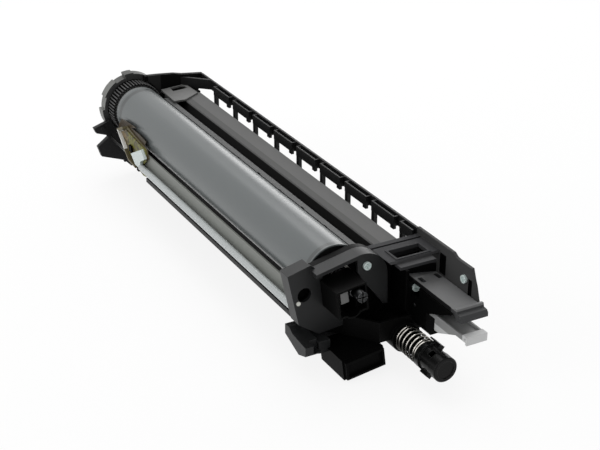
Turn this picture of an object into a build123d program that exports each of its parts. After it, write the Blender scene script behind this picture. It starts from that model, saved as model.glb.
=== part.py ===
"""Drum unit of a desktop colour printer.

X runs to the right seen from the front, Y runs along the drum axis from the front end
to the rear end, and Z is up. The origin lies on the drum axis, half way along the
journal that the shaft shows at the front. Millimetres throughout.
"""

import os
from math import atan2, cos, hypot, pi, radians, sin, sqrt, tan

from build123d import *

# Drum
drum_radius = 15.0
drum_wall = 0.8
drum_length = 246.0
shaft_radius = 3.0
journal_step = 0.25
journal_length = 7.0
shaft_to_drum = 28.5
rear_stub_length = 6.0
shaft_slot_width = 0.9
shaft_slot_depth = 1.5
hub_radius = 5.5
plug_wall = 1.6
plug_depth = 10.0
rear_journal_radius = 6.0
bush_wall = 1.5
bush_flange = 1.1
clip_radius = 5.0
clip_thickness = 0.7

# Fits and gaps
running_gap = 0.05
glue_gap = 0.05
seat_gap = 0.1
rest_gap = 0.3
drum_clearance = 0.35
drive_clearance = 1.1

# Gears
gear_gap = 1.0
drive_teeth = 52
drive_tip_radius = 16.7
drive_tooth_depth = 1.5
drive_width = 8.5
drive_twist = -14.0
gear_module = 1.0
ring_teeth = 24
idler_teeth = 22
auger_teeth = 16
gear_width = 3.2
tooth_backlash = 0.18
pressure_angle = 20.0
idler_pin_radius = 2.0

# Waste auger and its outlet pipe
auger_x = 27.0
auger_z = -30.8
auger_radius = 3.7
auger_core = 1.6
auger_pitch = 18.0
flight_thickness = 1.2
pipe_bore = 4.1
pipe_wall = 0.9
shutter_travel = 8.0
pipe_end_gap = 0.5
auger_setback = 5.5
sleeve_wall = 1.55
sleeve_length = 16.5
sleeve_collar = 0.6
sleeve_chamfer = 0.6
sleeve_head = 6.2
sleeve_waist = 0.25
collar_length = 3.0
sleeve_end_wall = 1.5
sleeve_tab = 1.6
sleeve_tab_width = 3.2
tab_length = 5.5
tab_root = 0.5
tab_setback = 9.0
top_tab_angle = 50.0
side_tab_angle = 225.0
finger_length = 3.0
sleeve_window = 3.4
spring_seat_y = -1.0
spring_length = 17.7
spring_wire = 1.05
spring_turns = 6.5
spring_radius = 6.6

# Trough of the drum frame
trough_left = 17.0
trough_right = 39.5
trough_top = 6.7
trough_mouth = -9.0
trough_shoulder = -22.0
frame_wall = 1.8
end_wall = 2.5
trough_radius = 6.0
seal_bar_left = 15.9
seal_bar_right = 18.2
seal_bar_top = 7.2
seal_bar_bottom = 3.6
bridge_thickness = 3.0
floor_level = -45.4
skirt_left = 9.0
skirt_rise = 6.0
rear_wall_right = 40.0

# Guide comb along the right side
guide_outer = 48.0
guide_top = 14.0
guide_bottom = 7.5
guide_wall = 1.2
pocket_inner = 43.8
pocket_top = 13.5
pocket_floor = 8.0
pocket_wall = 0.9
pocket_pitch = 27.35
pocket_length = 22.0
pocket_to_wall = 24.5
leg_thickness = 2.6
leg_width = 2.2
leg_foot = -4.0
foot_bar = 2.0
hook_length = 3.2
hook_drop = 1.6
corner_length = 15.7
corner_width = 2.4

# Rear end
rear_wall = 3.0
cap_inner = 16.9
cap_wall = 2.0
cap_depth = 7.8
cap_back = 2.2
cap_chamfer = 1.4
cover_wall = 1.5
cover_depth = 7.6
plate_sheet = 1.2

# Cleaning blade and seals
holder_sheet = 1.2
holder_left = 25.2
holder_right = 38.2
holder_end_gap = 4.5
holder_flange = 9.9
blade_thickness = 1.8
blade_width = 8.0
film_thickness = 0.4
film_step = 0.25
film_reach = 1.7
film_steps = 5
film_pitch = 25.0
film_first = 59.0

# Left side stay, rail and light guide
stay_outer = -17.4
stay_sheet = 1.0
stay_top = -6.9
stay_bottom = -19.0
stay_lip = 4.0
rail_outer = -18.6
rail_bottom = -24.6
rail_height = 2.6
rail_width = 5.0
rail_web = 1.2
rail_end_gap = 1.0
guide_rod_x = -20.1
guide_rod_z = -15.9
guide_rod_radius = 2.0
rod_seat = 2.0
rod_overlap = 2.0
lamp_to_wall = 59.0
lamp_length = 38.0
lamp_left = -20.8
lamp_sheet = 0.7
board_sheet = 0.8
diode_height = 1.2
contact_sheet = 0.4

# Front end frame
bulkhead_gap = 2.0
bulkhead_thickness = 4.0
shell_wall = 2.0
plate_depth = 8.0
hood_depth = 14.0
hood_radius = 14.0
hood_centre_x = 8.5
hood_centre_z = 0.3
petal_thickness = 1.6
deck_top = 11.0
deck_sheet = 1.6
deck_left = 17.0
deck_front = 3.0
lip_left = 22.3
lip_right = 42.5
lip_reach = 4.0
lip_drop = 2.0
window_left = 23.6
window_width = 17.4
window_front = 4.6
window_depth = 8.4
window_rim = 1.2
groove_width = 1.4
groove_depth = 0.8
front_wall_y = 4.0
front_wall_sheet = 1.6
recess_left_y = 10.5
recess_right_y = 4.4
recess_top = 4.2
housing_front = 1.0
housing_top = -20.0
housing_bottom = -31.0
housing_left = 12.5
bay_right = 29.0
bay_top = 3.0
wall_inner = 46.8
wall_sheet = 1.6
wall_reach = 29.8
wall_top = 14.6
wall_slot_depth = 0.9
port_radius = 3.75
port_x = -20.2
port_z = -3.4
port_depth = 5.0
peg_radius = 1.1
peg_x = -23.6
peg_z = -7.2
socket_width = 16.3
socket_height = 15.0
socket_x = -2.74
socket_z = -3.57
socket_wall = 1.0
socket_depth = 4.5
socket_front = 1.0
socket_turn = 7.5
well_radius = 4.4
well_x = -2.6
well_z = -7.7
well_wall = 0.8
well_depth = 11.0
pad_width = 4.2
pad_height = 6.0
pad_sheet = 3.0
tube_collar = 3.0

# Connector box and rail bracket under the front
box_width = 23.2
box_height = 11.4
box_x = 2.2
box_z = -37.3
box_length = 27.0
box_front = -4.0
box_rim = 1.2
box_recess = 1.5
mouth_step = 0.8
mouth_length = 2.2
bracket_left = -24.0
bracket_right = -15.0
bracket_front = 9.0
bracket_rear = 30.0
bracket_top = -26.7
bracket_bottom = -35.0
bracket_arm_right = -8.6
bracket_arm_top = -28.5
web_right = 3.0
web_top = -28.3
web_bottom = -36.5
web_sheet = 2.0

# Handle plate and release lever
handle_left = 32.6
handle_width = 13.9
handle_top = -1.5
handle_sheet = 2.2
handle_reach = 36.0
handle_hole_width = 2.4
handle_hole_length = 4.8
handle_hole_setback = 3.8
hook_overhang = 1.4
lever_left = 33.8
lever_width = 11.6
lever_top = -14.0
lever_sheet = 1.2
lever_rim = 2.4
lever_reach = 41.3
lever_lip = 3.0
lever_fin = 6.6
lever_pivot_y = 0.8
lever_pin_radius = 1.0
lever_hub_radius = 2.2
ear_width = 1.6
block_width = 10.6
block_reach = 14.0
block_height = 11.6
block_wall = 1.6

# Fasteners
screw_radius = 1.5
screw_head = 2.1
screw_head_height = 1.3
screw_length = 6.0
wall_screw_length = 2.6
wall_boss_end = 0.8
screw_slot = 0.7
boss_wall = 1.4

# Stations along the drum axis
shaft_front = -journal_length / 2
drum_front = shaft_front + shaft_to_drum
drum_rear = drum_front + drum_length
bulkhead_rear = drum_front - bulkhead_gap
bulkhead_front = bulkhead_rear - bulkhead_thickness
plate_front = drum_front - plate_depth
hood_front = drum_front - hood_depth
drive_front = drum_rear + gear_gap
drive_rear = drive_front + drive_width
rear_wall_front = drive_rear - 2.5
rear_wall_rear = rear_wall_front + rear_wall
gear_front = rear_wall_rear + 1.2
gear_rear = gear_front + gear_width
cap_rear = rear_wall_rear + cap_depth
cap_floor = cap_rear - cap_back
cover_rear = rear_wall_rear + cover_depth
shaft_rear = cap_rear + 0.5
bridge_rear = drum_rear - 4.0
sleeve_rear = spring_seat_y - spring_length - rest_gap
sleeve_front = sleeve_rear - sleeve_length
pipe_front = sleeve_front + sleeve_end_wall + shutter_travel + pipe_end_gap
lamp_start = rear_wall_front - lamp_to_wall
lamp_rear = lamp_start + lamp_length
lamp_face = stay_outer - lamp_sheet
board_face = lamp_face - board_sheet
drum_inner = drum_radius - drum_wall
drive_hole = drive_tip_radius + drive_clearance


def facing_front(y, x=0.0, z=0.0, turn=0.0):
    """Plane that looks to the front: its local X is X turned by some degrees, its Y is up."""
    return Plane(
        origin=(x, y, z),
        x_dir=(cos(radians(turn)), 0, sin(radians(turn))),
        z_dir=(0, -1, 0),
    )


def block(x_range, y_range, z_range, mode=Mode.ADD):
    """Box between two limits on each axis."""
    spans = [x_range, y_range, z_range]
    sizes = [high - low for low, high in spans]
    middle = [(low + high) / 2 for low, high in spans]
    with Locations(tuple(middle)):
        Box(*sizes, mode=mode)


def cylinder(x, z, radius, y_range, mode=Mode.ADD):
    """Round bar along Y between two stations."""
    with BuildSketch(facing_front(y_range[1])) as section:
        with Locations((x, z)):
            Circle(radius)
    extrude(section.sketch, amount=y_range[1] - y_range[0], mode=mode)


def ring(x, z, outer, inner, y_range, mode=Mode.ADD):
    """Tube along Y between two stations."""
    with BuildSketch(facing_front(y_range[1])) as section:
        with Locations((x, z)):
            Circle(outer)
            Circle(inner, mode=Mode.SUBTRACT)
    extrude(section.sketch, amount=y_range[1] - y_range[0], mode=mode)


def prism(points, y_range, mode=Mode.ADD):
    """Straight-sided profile in X and Z, drawn out along Y."""
    with BuildSketch(facing_front(y_range[1])) as section:
        with BuildLine():
            Polyline(*points, close=True)
        make_face()
    extrude(section.sketch, amount=y_range[1] - y_range[0], mode=mode)


def side_prism(points, x_range, mode=Mode.ADD):
    """Straight-sided profile in Y and Z, drawn out along X."""
    with BuildSketch(Plane.YZ.offset(x_range[0])) as section:
        with BuildLine():
            Polyline(*points, close=True)
        make_face()
    extrude(section.sketch, amount=x_range[1] - x_range[0], mode=mode)


def plan_prism(points, z_range, mode=Mode.ADD):
    """Straight-sided profile in X and Y, drawn out along Z."""
    with BuildSketch(Plane.XY.offset(z_range[0])) as section:
        with BuildLine():
            Polyline(*points, close=True)
        make_face()
    extrude(section.sketch, amount=z_range[1] - z_range[0], mode=mode)


def gear_outline(teeth, phase):
    """Corner points of a spur gear with involute flanks; phase is where a tooth points."""
    pitch_radius = gear_module * teeth / 2
    base_radius = pitch_radius * cos(radians(pressure_angle))
    tip_radius = pitch_radius + gear_module * 0.95
    root_radius = pitch_radius - gear_module * 1.2
    involute = tan(radians(pressure_angle)) - radians(pressure_angle)
    half_tooth = pi / (2 * teeth) - tooth_backlash / (2 * pitch_radius)
    start_radius = max(base_radius, root_radius)
    flank = []
    for step in range(3):
        radius = start_radius + (tip_radius - start_radius) * step / 2
        angle = sqrt(max((radius / base_radius) ** 2 - 1, 0))
        flank.append((radius, half_tooth + involute - (angle - atan2(angle, 1))))
    points = []
    for tooth in range(teeth):
        centre = phase + 2 * pi * tooth / teeth
        side = [(root_radius, half_tooth + involute + 0.02)] + flank
        rising = [(radius, centre - spread) for radius, spread in side]
        falling = [(radius, centre + spread) for radius, spread in reversed(side)]
        for radius, angle in rising + falling:
            points.append((radius * cos(angle), radius * sin(angle)))
    return points


def spur_gear(x, z, teeth, phase, y_range):
    """Spur gear without a bore, its axis along Y."""
    points = [(x + px, z + pz) for px, pz in gear_outline(teeth, phase)]
    prism(points, y_range)


os.makedirs("parts", exist_ok=True)

# Drum and what turns with it

with BuildPart() as drum_tube:
    ring(0, 0, drum_radius, drum_inner, (drum_front, drum_rear))
drum_tube.part.label = "drum_tube"
export_step(drum_tube.part, "parts/drum_tube.step")

plug_radius = drum_inner - glue_gap
hub_front = bulkhead_front + 1.5
shaft_bore = shaft_radius + seat_gap
with BuildPart() as drum_front_flange:
    ring(0, 0, plug_radius, plug_radius - plug_wall, (drum_front + 1, drum_front + plug_depth))
    ring(0, 0, plug_radius, shaft_bore, (drum_front + 1, drum_front + 3.5))
    ring(0, 0, hub_radius, shaft_bore, (hub_front, drum_front + plug_depth))
drum_front_flange.part.label = "drum_front_flange"
export_step(drum_front_flange.part, "parts/drum_front_flange.step")

journal_radius = shaft_radius - journal_step
with BuildPart() as drum_shaft:
    cylinder(0, 0, journal_radius, (shaft_front, shaft_rear + rear_stub_length))
    cylinder(0, 0, shaft_radius, (shaft_front + journal_length, shaft_rear))
    for turn in (0, 90):
        with BuildSketch(facing_front(shaft_front + shaft_slot_depth, turn=turn)):
            Rectangle(shaft_radius * 3, shaft_slot_width)
        extrude(amount=shaft_slot_depth * 2, mode=Mode.SUBTRACT)
drum_shaft.part.label = "drum_shaft"
export_step(drum_shaft.part, "parts/drum_shaft.step")

auger_distance = hypot(auger_x, auger_z)
auger_angle = atan2(auger_z, auger_x)
ring_pitch = gear_module * ring_teeth / 2
idler_pitch = gear_module * idler_teeth / 2
auger_pitch_radius = gear_module * auger_teeth / 2
reach_drum = ring_pitch + idler_pitch
reach_auger = idler_pitch + auger_pitch_radius
along = (reach_drum**2 - reach_auger**2 + auger_distance**2) / (2 * auger_distance)
aside = sqrt(reach_drum**2 - along**2)
idler_x = along * cos(auger_angle) - aside * sin(auger_angle)
idler_z = along * sin(auger_angle) + aside * cos(auger_angle)
to_idler = atan2(idler_z, idler_x)
idler_to_auger = atan2(auger_z - idler_z, auger_x - idler_x)
ring_phase = to_idler
idler_phase = to_idler + pi + pi / idler_teeth
idler_ahead = idler_phase - idler_to_auger
auger_phase = idler_to_auger + pi + pi / auger_teeth - idler_ahead * idler_teeth / auger_teeth
gear_addendum = gear_module * 0.95


def helical_points(turn):
    """Corner points of the drive gear's section, turned by some degrees."""
    points = []
    step = 2 * pi / drive_teeth
    for tooth in range(drive_teeth):
        centre = tooth * step + radians(turn)
        for radius, share in (
            (drive_tip_radius - drive_tooth_depth, -0.30),
            (drive_tip_radius, -0.16),
            (drive_tip_radius, 0.16),
            (drive_tip_radius - drive_tooth_depth, 0.30),
        ):
            angle = centre + share * step
            points.append((radius * cos(angle), radius * sin(angle)))
    return points


with BuildPart() as drum_gear:
    for station, turn in ((drive_front, 0), (drive_rear, drive_twist)):
        with BuildSketch(facing_front(station)):
            with BuildLine():
                Polyline(*helical_points(turn), close=True)
            make_face()
    loft(ruled=True)
    cylinder(0, 0, drum_radius, (drum_rear + 0.2, drive_front))
    ring(0, 0, plug_radius, plug_radius - plug_wall, (drum_rear - plug_depth, drum_rear + 0.2))
    cylinder(0, 0, hub_radius + 3, (drive_rear, gear_front))
    spur_gear(0, 0, ring_teeth, ring_phase, (gear_front, gear_rear))
    cylinder(0, 0, rear_journal_radius, (gear_rear, shaft_rear))
    cylinder(0, 0, shaft_bore, (drum_rear - plug_depth, shaft_rear + 1), Mode.SUBTRACT)
drum_gear.part.label = "drum_gear"
export_step(drum_gear.part, "parts/drum_gear.step")

earth_y = drum_front + plug_depth + 0.2
with BuildPart() as drum_earth_plate:
    ring(0, 0, drum_inner - seat_gap, shaft_bore, (earth_y, earth_y + 0.4))
drum_earth_plate.part.label = "drum_earth_plate"
export_step(drum_earth_plate.part, "parts/drum_earth_plate.step")

clip_front = hub_front - clip_thickness - rest_gap
with BuildPart() as shaft_clip:
    ring(0, 0, clip_radius, shaft_radius + running_gap, (clip_front, clip_front + clip_thickness))
    block((-1.2, 1.2), (clip_front - 1, clip_front + 2), (-clip_radius - 1, 0), Mode.SUBTRACT)
shaft_clip.part.label = "shaft_clip"
export_step(shaft_clip.part, "parts/shaft_clip.step")

# Bearings

front_bush_outer = hub_radius + running_gap + bush_wall
with BuildPart() as front_bush:
    ring(0, 0, front_bush_outer, hub_radius + running_gap, (hub_front + 0.2, bulkhead_rear))
    ring(0, 0, front_bush_outer + 1.2, hub_radius + running_gap,
         (bulkhead_rear, bulkhead_rear + bush_flange))
front_bush.part.label = "front_bush"
export_step(front_bush.part, "parts/front_bush.step")

rear_bush_outer = rear_journal_radius + running_gap + bush_wall
with BuildPart() as rear_bush:
    ring(0, 0, rear_bush_outer, rear_journal_radius + running_gap, (cap_floor, cap_rear))
    ring(0, 0, rear_bush_outer + 1.2, rear_journal_radius + running_gap,
         (cap_floor - 0.7, cap_floor))
rear_bush.part.label = "rear_bush"
export_step(rear_bush.part, "parts/rear_bush.step")

bearing_bore = auger_core + running_gap
auger_bush_outer = bearing_bore + bush_wall
with BuildPart() as auger_bush:
    ring(auger_x, auger_z, auger_bush_outer, bearing_bore,
         (rear_wall_front - end_wall, rear_wall_rear))
    ring(auger_x, auger_z, auger_bush_outer + 1, bearing_bore,
         (rear_wall_rear, rear_wall_rear + 0.7))
auger_bush.part.label = "auger_bush"
export_step(auger_bush.part, "parts/auger_bush.step")

idler_pin_rear = gear_rear + 0.4
with BuildPart() as idler_pin:
    cylinder(idler_x, idler_z, idler_pin_radius, (rear_wall_front + 0.5, idler_pin_rear))
idler_pin.part.label = "idler_pin"
export_step(idler_pin.part, "parts/idler_pin.step")

# Gears of the waste drive

with BuildPart() as idler_gear:
    spur_gear(idler_x, idler_z, idler_teeth, idler_phase, (gear_front, gear_rear))
    cylinder(idler_x, idler_z, idler_pin_radius + 1.6, (rear_wall_rear + 0.4, gear_front))
    cylinder(idler_x, idler_z, idler_pin_radius + running_gap,
             (rear_wall_rear, gear_rear + 1), Mode.SUBTRACT)
idler_gear.part.label = "idler_gear"
export_step(idler_gear.part, "parts/idler_gear.step")

auger_end = gear_rear - 0.5
with BuildPart() as auger_gear:
    spur_gear(auger_x, auger_z, auger_teeth, auger_phase, (gear_front, gear_rear))
    cylinder(auger_x, auger_z, auger_core + glue_gap, (gear_front - 1, auger_end + 0.1),
             Mode.SUBTRACT)
auger_gear.part.label = "auger_gear"
export_step(auger_gear.part, "parts/auger_gear.step")

# Waste auger: a round core with one flight twisted round it

flight_start = pipe_front + auger_setback
flight_end = rear_wall_front - end_wall - 1
with BuildSketch(facing_front(flight_end, auger_x, auger_z)) as flight_section:
    with Locations((auger_radius / 2, 0)):
        Rectangle(auger_radius, flight_thickness)
flight = Solid.extrude_linear_with_rotation(
    flight_section.sketch.faces()[0],
    center=(auger_x, flight_end, auger_z),
    normal=(0, flight_start - flight_end, 0),
    angle=360 * (flight_end - flight_start) / auger_pitch,
)
with BuildPart() as waste_auger:
    cylinder(auger_x, auger_z, auger_core, (flight_start, auger_end))
    add(flight)
waste_auger.part.label = "waste_auger"
export_step(waste_auger.part, "parts/waste_auger.step")

# Drum frame: trough, rear wall, seal bar and the two long skirts it stands on

wall_left = trough_left + frame_wall
wall_right = trough_right - frame_wall
tube_radius = trough_radius + frame_wall
trough_outside = [
    (trough_left, trough_mouth),
    (trough_left, trough_shoulder),
    (auger_x - tube_radius, auger_z),
    (auger_x + tube_radius, auger_z),
    (trough_right, trough_shoulder),
    (trough_right, trough_top),
    (wall_right, trough_top),
    (wall_left, trough_mouth),
]
trough_inside = [
    (wall_left, trough_top + 1),
    (wall_left, trough_shoulder),
    (auger_x - trough_radius, auger_z),
    (auger_x + trough_radius, auger_z),
    (wall_right, trough_shoulder),
    (wall_right, trough_top + 1),
]
end_panel = [
    (trough_left, trough_top),
    (trough_left, trough_shoulder),
    (trough_right, trough_shoulder),
    (trough_right, trough_top),
]
skirt_outline = [
    (skirt_left, floor_level),
    (skirt_left, floor_level + skirt_rise),
    (trough_left, trough_shoulder),
    (wall_left, trough_shoulder),
    (skirt_left + frame_wall, floor_level + skirt_rise),
    (skirt_left + frame_wall, floor_level),
]
rear_outline = [
    (8.0, 18.6),
    (17.0, 18.0),
    (28.0, 16.9),
    (34.0, 15.5),
    (guide_outer, guide_top - 0.2),
    (guide_outer, guide_bottom - 1),
    (rear_wall_right, 0.0),
    (rear_wall_right, floor_level),
    (0.0, floor_level),
    (0.0, -drum_radius),
]

with BuildPart() as drum_frame:
    prism(trough_outside, (bulkhead_rear, rear_wall_front))
    cylinder(auger_x, auger_z, tube_radius, (bulkhead_rear, rear_wall_front))
    prism(skirt_outline, (bulkhead_rear, rear_wall_front))
    block((wall_right, trough_right), (bulkhead_rear, rear_wall_front),
          (floor_level, trough_shoulder))
    inside = (bulkhead_rear + end_wall, rear_wall_front - end_wall)
    prism(trough_inside, inside, Mode.SUBTRACT)
    cylinder(auger_x, auger_z, trough_radius, inside, Mode.SUBTRACT)
    prism(end_panel, (bulkhead_rear, inside[0]))
    prism(end_panel, (inside[1], rear_wall_front))
    block((seal_bar_left, seal_bar_right), (bulkhead_rear, bridge_rear),
          (seal_bar_bottom, seal_bar_top))
    block((seal_bar_left, trough_right), (bridge_rear - bridge_thickness, bridge_rear),
          (seal_bar_bottom - 0.6, trough_top + holder_sheet))
    prism(rear_outline, (rear_wall_front, rear_wall_rear))
    block((-8, 1), (rear_wall_rear, rear_wall_rear + 2), (-38, -cap_inner - cap_wall - 0.7))
    cylinder(0, 0, drive_hole, (drive_front - 0.8, rear_wall_rear + 1), Mode.SUBTRACT)
    cylinder(auger_x, auger_z, pipe_bore, (bulkhead_rear - 1, inside[0] + 1), Mode.SUBTRACT)
    cylinder(auger_x, auger_z, auger_bush_outer + glue_gap, (inside[1] - 1, rear_wall_rear + 1),
             Mode.SUBTRACT)
    cylinder(idler_x, idler_z, idler_pin_radius + glue_gap,
             (rear_wall_front + 0.5, rear_wall_rear + 1), Mode.SUBTRACT)
drum_frame.part.label = "drum_frame"
export_step(drum_frame.part, "parts/drum_frame.step")

# Guide comb: a long beam with pockets and hooked legs, beside the trough

beam = (guide_outer - guide_wall, guide_outer)
with BuildPart() as comb_bay:
    bay = (-pocket_length, 0)
    pocket = (pocket_inner, beam[0] + 0.2)
    leg_left = pocket_inner + 0.2
    block(pocket, bay, (pocket_floor, pocket_floor + 0.8))
    block((pocket_inner, pocket_inner + pocket_wall), bay, (pocket_floor, pocket_top))
    block(pocket, (-pocket_wall, 0), (pocket_floor, pocket_top))
    block(pocket, (-pocket_length, pocket_wall - pocket_length), (pocket_floor, pocket_top))
    block((leg_left, leg_left + leg_width), (-leg_thickness, 0),
          (leg_foot - foot_bar, pocket_floor + 0.4))
    block((trough_right, leg_left + leg_width), (-leg_thickness, 0),
          (leg_foot - foot_bar, leg_foot))
    block((pocket_inner, pocket_inner + 1.6), (-pocket_length, hook_length - pocket_length),
          (pocket_floor - hook_drop, pocket_floor + 0.4))

pocket_rear = rear_wall_front - pocket_to_wall
pocket_count = int((pocket_rear - bulkhead_rear) / pocket_pitch) + 1
with BuildPart() as guide_comb:
    block(beam, (bulkhead_rear, rear_wall_front), (guide_bottom, guide_top))
    with Locations([(0, pocket_rear - index * pocket_pitch, 0) for index in range(pocket_count)]):
        add(comb_bay.part)
    plan_prism(
        [
            (guide_outer - corner_length, rear_wall_front),
            (guide_outer, rear_wall_front - corner_length),
            (guide_outer, rear_wall_front - corner_length + corner_width),
            (guide_outer - corner_length + corner_width, rear_wall_front),
        ],
        (guide_bottom, guide_top),
    )
    block((trough_right - 1, guide_outer), (bulkhead_rear - pocket_length - 1, bulkhead_rear),
          (leg_foot - foot_bar - 1, guide_top + 1), Mode.SUBTRACT)
guide_comb.part.label = "guide_comb"
export_step(guide_comb.part, "parts/guide_comb.step")

# Rear end: locating fork, gear cap, gear cover and window plate

fork_outline = [
    (-17.5, -5.9),
    (-18.4, -6.8),
    (-28.1, -10.0),
    (-26.7, -13.4),
    (-20.1, -15.8),
    (-19.1, -17.6),
    (-26.3, -22.9),
    (-24.1, -29.7),
    (-9.2, -35.2),
    (-4.8, -40.0),
    (0.0, -40.0),
    (0.0, -16.0),
]
with BuildPart() as rear_fork:
    prism(fork_outline, (rear_wall_front, rear_wall_rear))
    cylinder(0, 0, drive_hole, (rear_wall_front - 1, rear_wall_rear + 1), Mode.SUBTRACT)
    cylinder(-22.4, -10.8, 1.2, (rear_wall_front - 0.8, rear_wall_front))
rear_fork.part.label = "rear_fork"
export_step(rear_fork.part, "parts/rear_fork.step")

cap_outer = cap_inner + cap_wall
idler_room = idler_pitch + gear_addendum + 0.8
with BuildPart() as rear_cap:
    cylinder(0, 0, cap_outer, (rear_wall_rear, cap_rear))
    chamfer(edges().filter_by(GeomType.CIRCLE).sort_by(Axis.Y)[-1], cap_chamfer)
    cylinder(0, 0, cap_inner, (rear_wall_rear, cap_floor), Mode.SUBTRACT)
    cylinder(0, 0, rear_bush_outer + glue_gap, (cap_floor - 1, cap_rear + 1), Mode.SUBTRACT)
    for start, sweep_angle, lift in ((55, 31, 1.6), (86, 16, 2.3), (122, 34, 1.1), (180, 36, 1.6)):
        with BuildSketch(facing_front(cap_rear - cap_chamfer)) as raised:
            with BuildLine():
                outside = CenterArc((0, 0), cap_outer + lift, start, sweep_angle)
                below = CenterArc((0, 0), cap_outer - 0.5, start, sweep_angle)
                Line(outside @ 0, below @ 0)
                Line(outside @ 1, below @ 1)
            make_face()
        extrude(raised.sketch, amount=cap_depth - cap_chamfer)
    cylinder(idler_x, idler_z, idler_room, (rear_wall_rear - 1, cap_floor - 0.4), Mode.SUBTRACT)
rear_cap.part.label = "rear_cap"
export_step(rear_cap.part, "parts/rear_cap.step")

auger_room = auger_pitch_radius + gear_addendum + 0.8


def gear_case(margin, y_range, mode=Mode.ADD):
    """Rounded case round the idler and the auger gear, with some margin outside their room."""
    big = idler_room + margin
    small = auger_room + margin
    side_x = -sin(idler_to_auger)
    side_z = cos(idler_to_auger)
    cylinder(idler_x, idler_z, big, y_range, mode)
    cylinder(auger_x, auger_z, small, y_range, mode)
    prism(
        [
            (idler_x + side_x * big, idler_z + side_z * big),
            (auger_x + side_x * small, auger_z + side_z * small),
            (auger_x - side_x * small, auger_z - side_z * small),
            (idler_x - side_x * big, idler_z - side_z * big),
        ],
        y_range,
        mode,
    )


with BuildPart() as rear_cover:
    gear_case(cover_wall, (rear_wall_rear, cover_rear))
    gear_case(0, (rear_wall_rear - 1, cover_rear - cover_wall), Mode.SUBTRACT)
    cylinder(0, 0, cap_outer + rest_gap, (rear_wall_rear - 1, cover_rear + 1), Mode.SUBTRACT)
rear_cover.part.label = "rear_cover"
export_step(rear_cover.part, "parts/rear_cover.step")

window_base = trough_top + holder_sheet
window_outline = [
    (16.4, bridge_rear - 14.3),
    (17.1, bridge_rear + 8.1),
    (32.3, bridge_rear + 10.3),
    (35.2, bridge_rear + 7.4),
    (35.6, bridge_rear - 7.5),
    (24.2, bridge_rear - 14.9),
]
window_slot = [
    (22.9, bridge_rear + 1.9),
    (23.3, bridge_rear + 8.0),
    (31.6, bridge_rear + 9.2),
    (33.2, bridge_rear + 7.6),
    (33.0, bridge_rear + 3.0),
]
with BuildPart() as rear_window_plate:
    plan_prism(window_outline, (window_base, window_base + plate_sheet))
    plan_prism(window_slot, (window_base - 1, window_base + plate_sheet + 1), Mode.SUBTRACT)
rear_window_plate.part.label = "rear_window_plate"
export_step(rear_window_plate.part, "parts/rear_window_plate.step")

# Cleaning blade on its folded steel holder, and the seals

holder_span = (bulkhead_rear + holder_end_gap, bridge_rear - bridge_thickness - 2.0)
fold = holder_flange / sqrt(2)
skew = holder_sheet * sqrt(2)
flange_line = holder_left - trough_top + 0.2 * holder_sheet
fold_top = (flange_line - skew + trough_top + holder_sheet, trough_top + holder_sheet)
with BuildPart() as blade_holder:
    prism(
        [
            (holder_right, trough_top),
            (holder_right, trough_top + holder_sheet),
            fold_top,
            (fold_top[0] - fold, fold_top[1] - fold),
            (fold_top[0] - fold + skew / 2, fold_top[1] - fold - skew / 2),
            (flange_line + trough_top, trough_top),
        ],
        holder_span,
    )
blade_holder.part.label = "blade_holder"
export_step(blade_holder.part, "parts/blade_holder.step")

tip_radius = drum_radius + drum_clearance
tip_x = (flange_line + sqrt(2 * tip_radius**2 - flange_line**2)) / 2
tip_z = tip_x - flange_line
blade_run = blade_width / sqrt(2)
blade_skew = blade_thickness / sqrt(2)
with BuildPart() as cleaning_blade:
    prism(
        [
            (tip_x, tip_z),
            (tip_x + blade_run, tip_z + blade_run),
            (tip_x + blade_run + blade_skew, tip_z + blade_run - blade_skew),
            (tip_x + blade_skew, tip_z - blade_skew),
        ],
        (holder_span[0] + 1, holder_span[1] - 1),
    )
cleaning_blade.part.label = "cleaning_blade"
export_step(cleaning_blade.part, "parts/cleaning_blade.step")

pad_inner = drum_radius + drum_clearance + 0.2
with BuildPart() as blade_end_seals:
    block((pad_inner, trough_left + 0.8), (inside[0], holder_span[0] + 0.8), (-3, 3))
    block((pad_inner, trough_left + 0.8), (holder_span[1] - 0.8, bridge_rear - bridge_thickness),
          (-1, seal_bar_bottom))
blade_end_seals.part.label = "blade_end_seals"
export_step(blade_end_seals.part, "parts/blade_end_seals.step")

film_span = (inside[0] + 0.5, bridge_rear - bridge_thickness - 0.5)
lip_x = (drum_radius + drum_clearance) * cos(radians(23))
lip_z = -(drum_radius + drum_clearance) * sin(radians(23))
with BuildPart() as lower_seal:
    prism(
        [
            (trough_left - film_thickness, trough_mouth - 4),
            (trough_left, trough_mouth - 4),
            (trough_left, trough_mouth),
            (lip_x + film_thickness, lip_z),
            (lip_x, lip_z - 0.2),
            (trough_left - film_thickness, trough_mouth - 0.2),
        ],
        film_span,
    )
lower_seal.part.label = "lower_seal"
export_step(lower_seal.part, "parts/lower_seal.step")

with BuildPart() as upper_seal:
    film_left = seal_bar_left - film_reach
    block((film_left, seal_bar_right - 0.6), film_span,
          (seal_bar_top, seal_bar_top + film_thickness))
    for index in range(film_steps):
        step_y = film_first + index * film_pitch
        block((film_left - 0.1, film_left + film_step * (1 + index % 2)), (step_y - 3, step_y),
              (seal_bar_top - 1, seal_bar_top + 1), Mode.SUBTRACT)
upper_seal.part.label = "upper_seal"
export_step(upper_seal.part, "parts/upper_seal.step")

# Left side: stay, rail, light guide and its lamp

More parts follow.
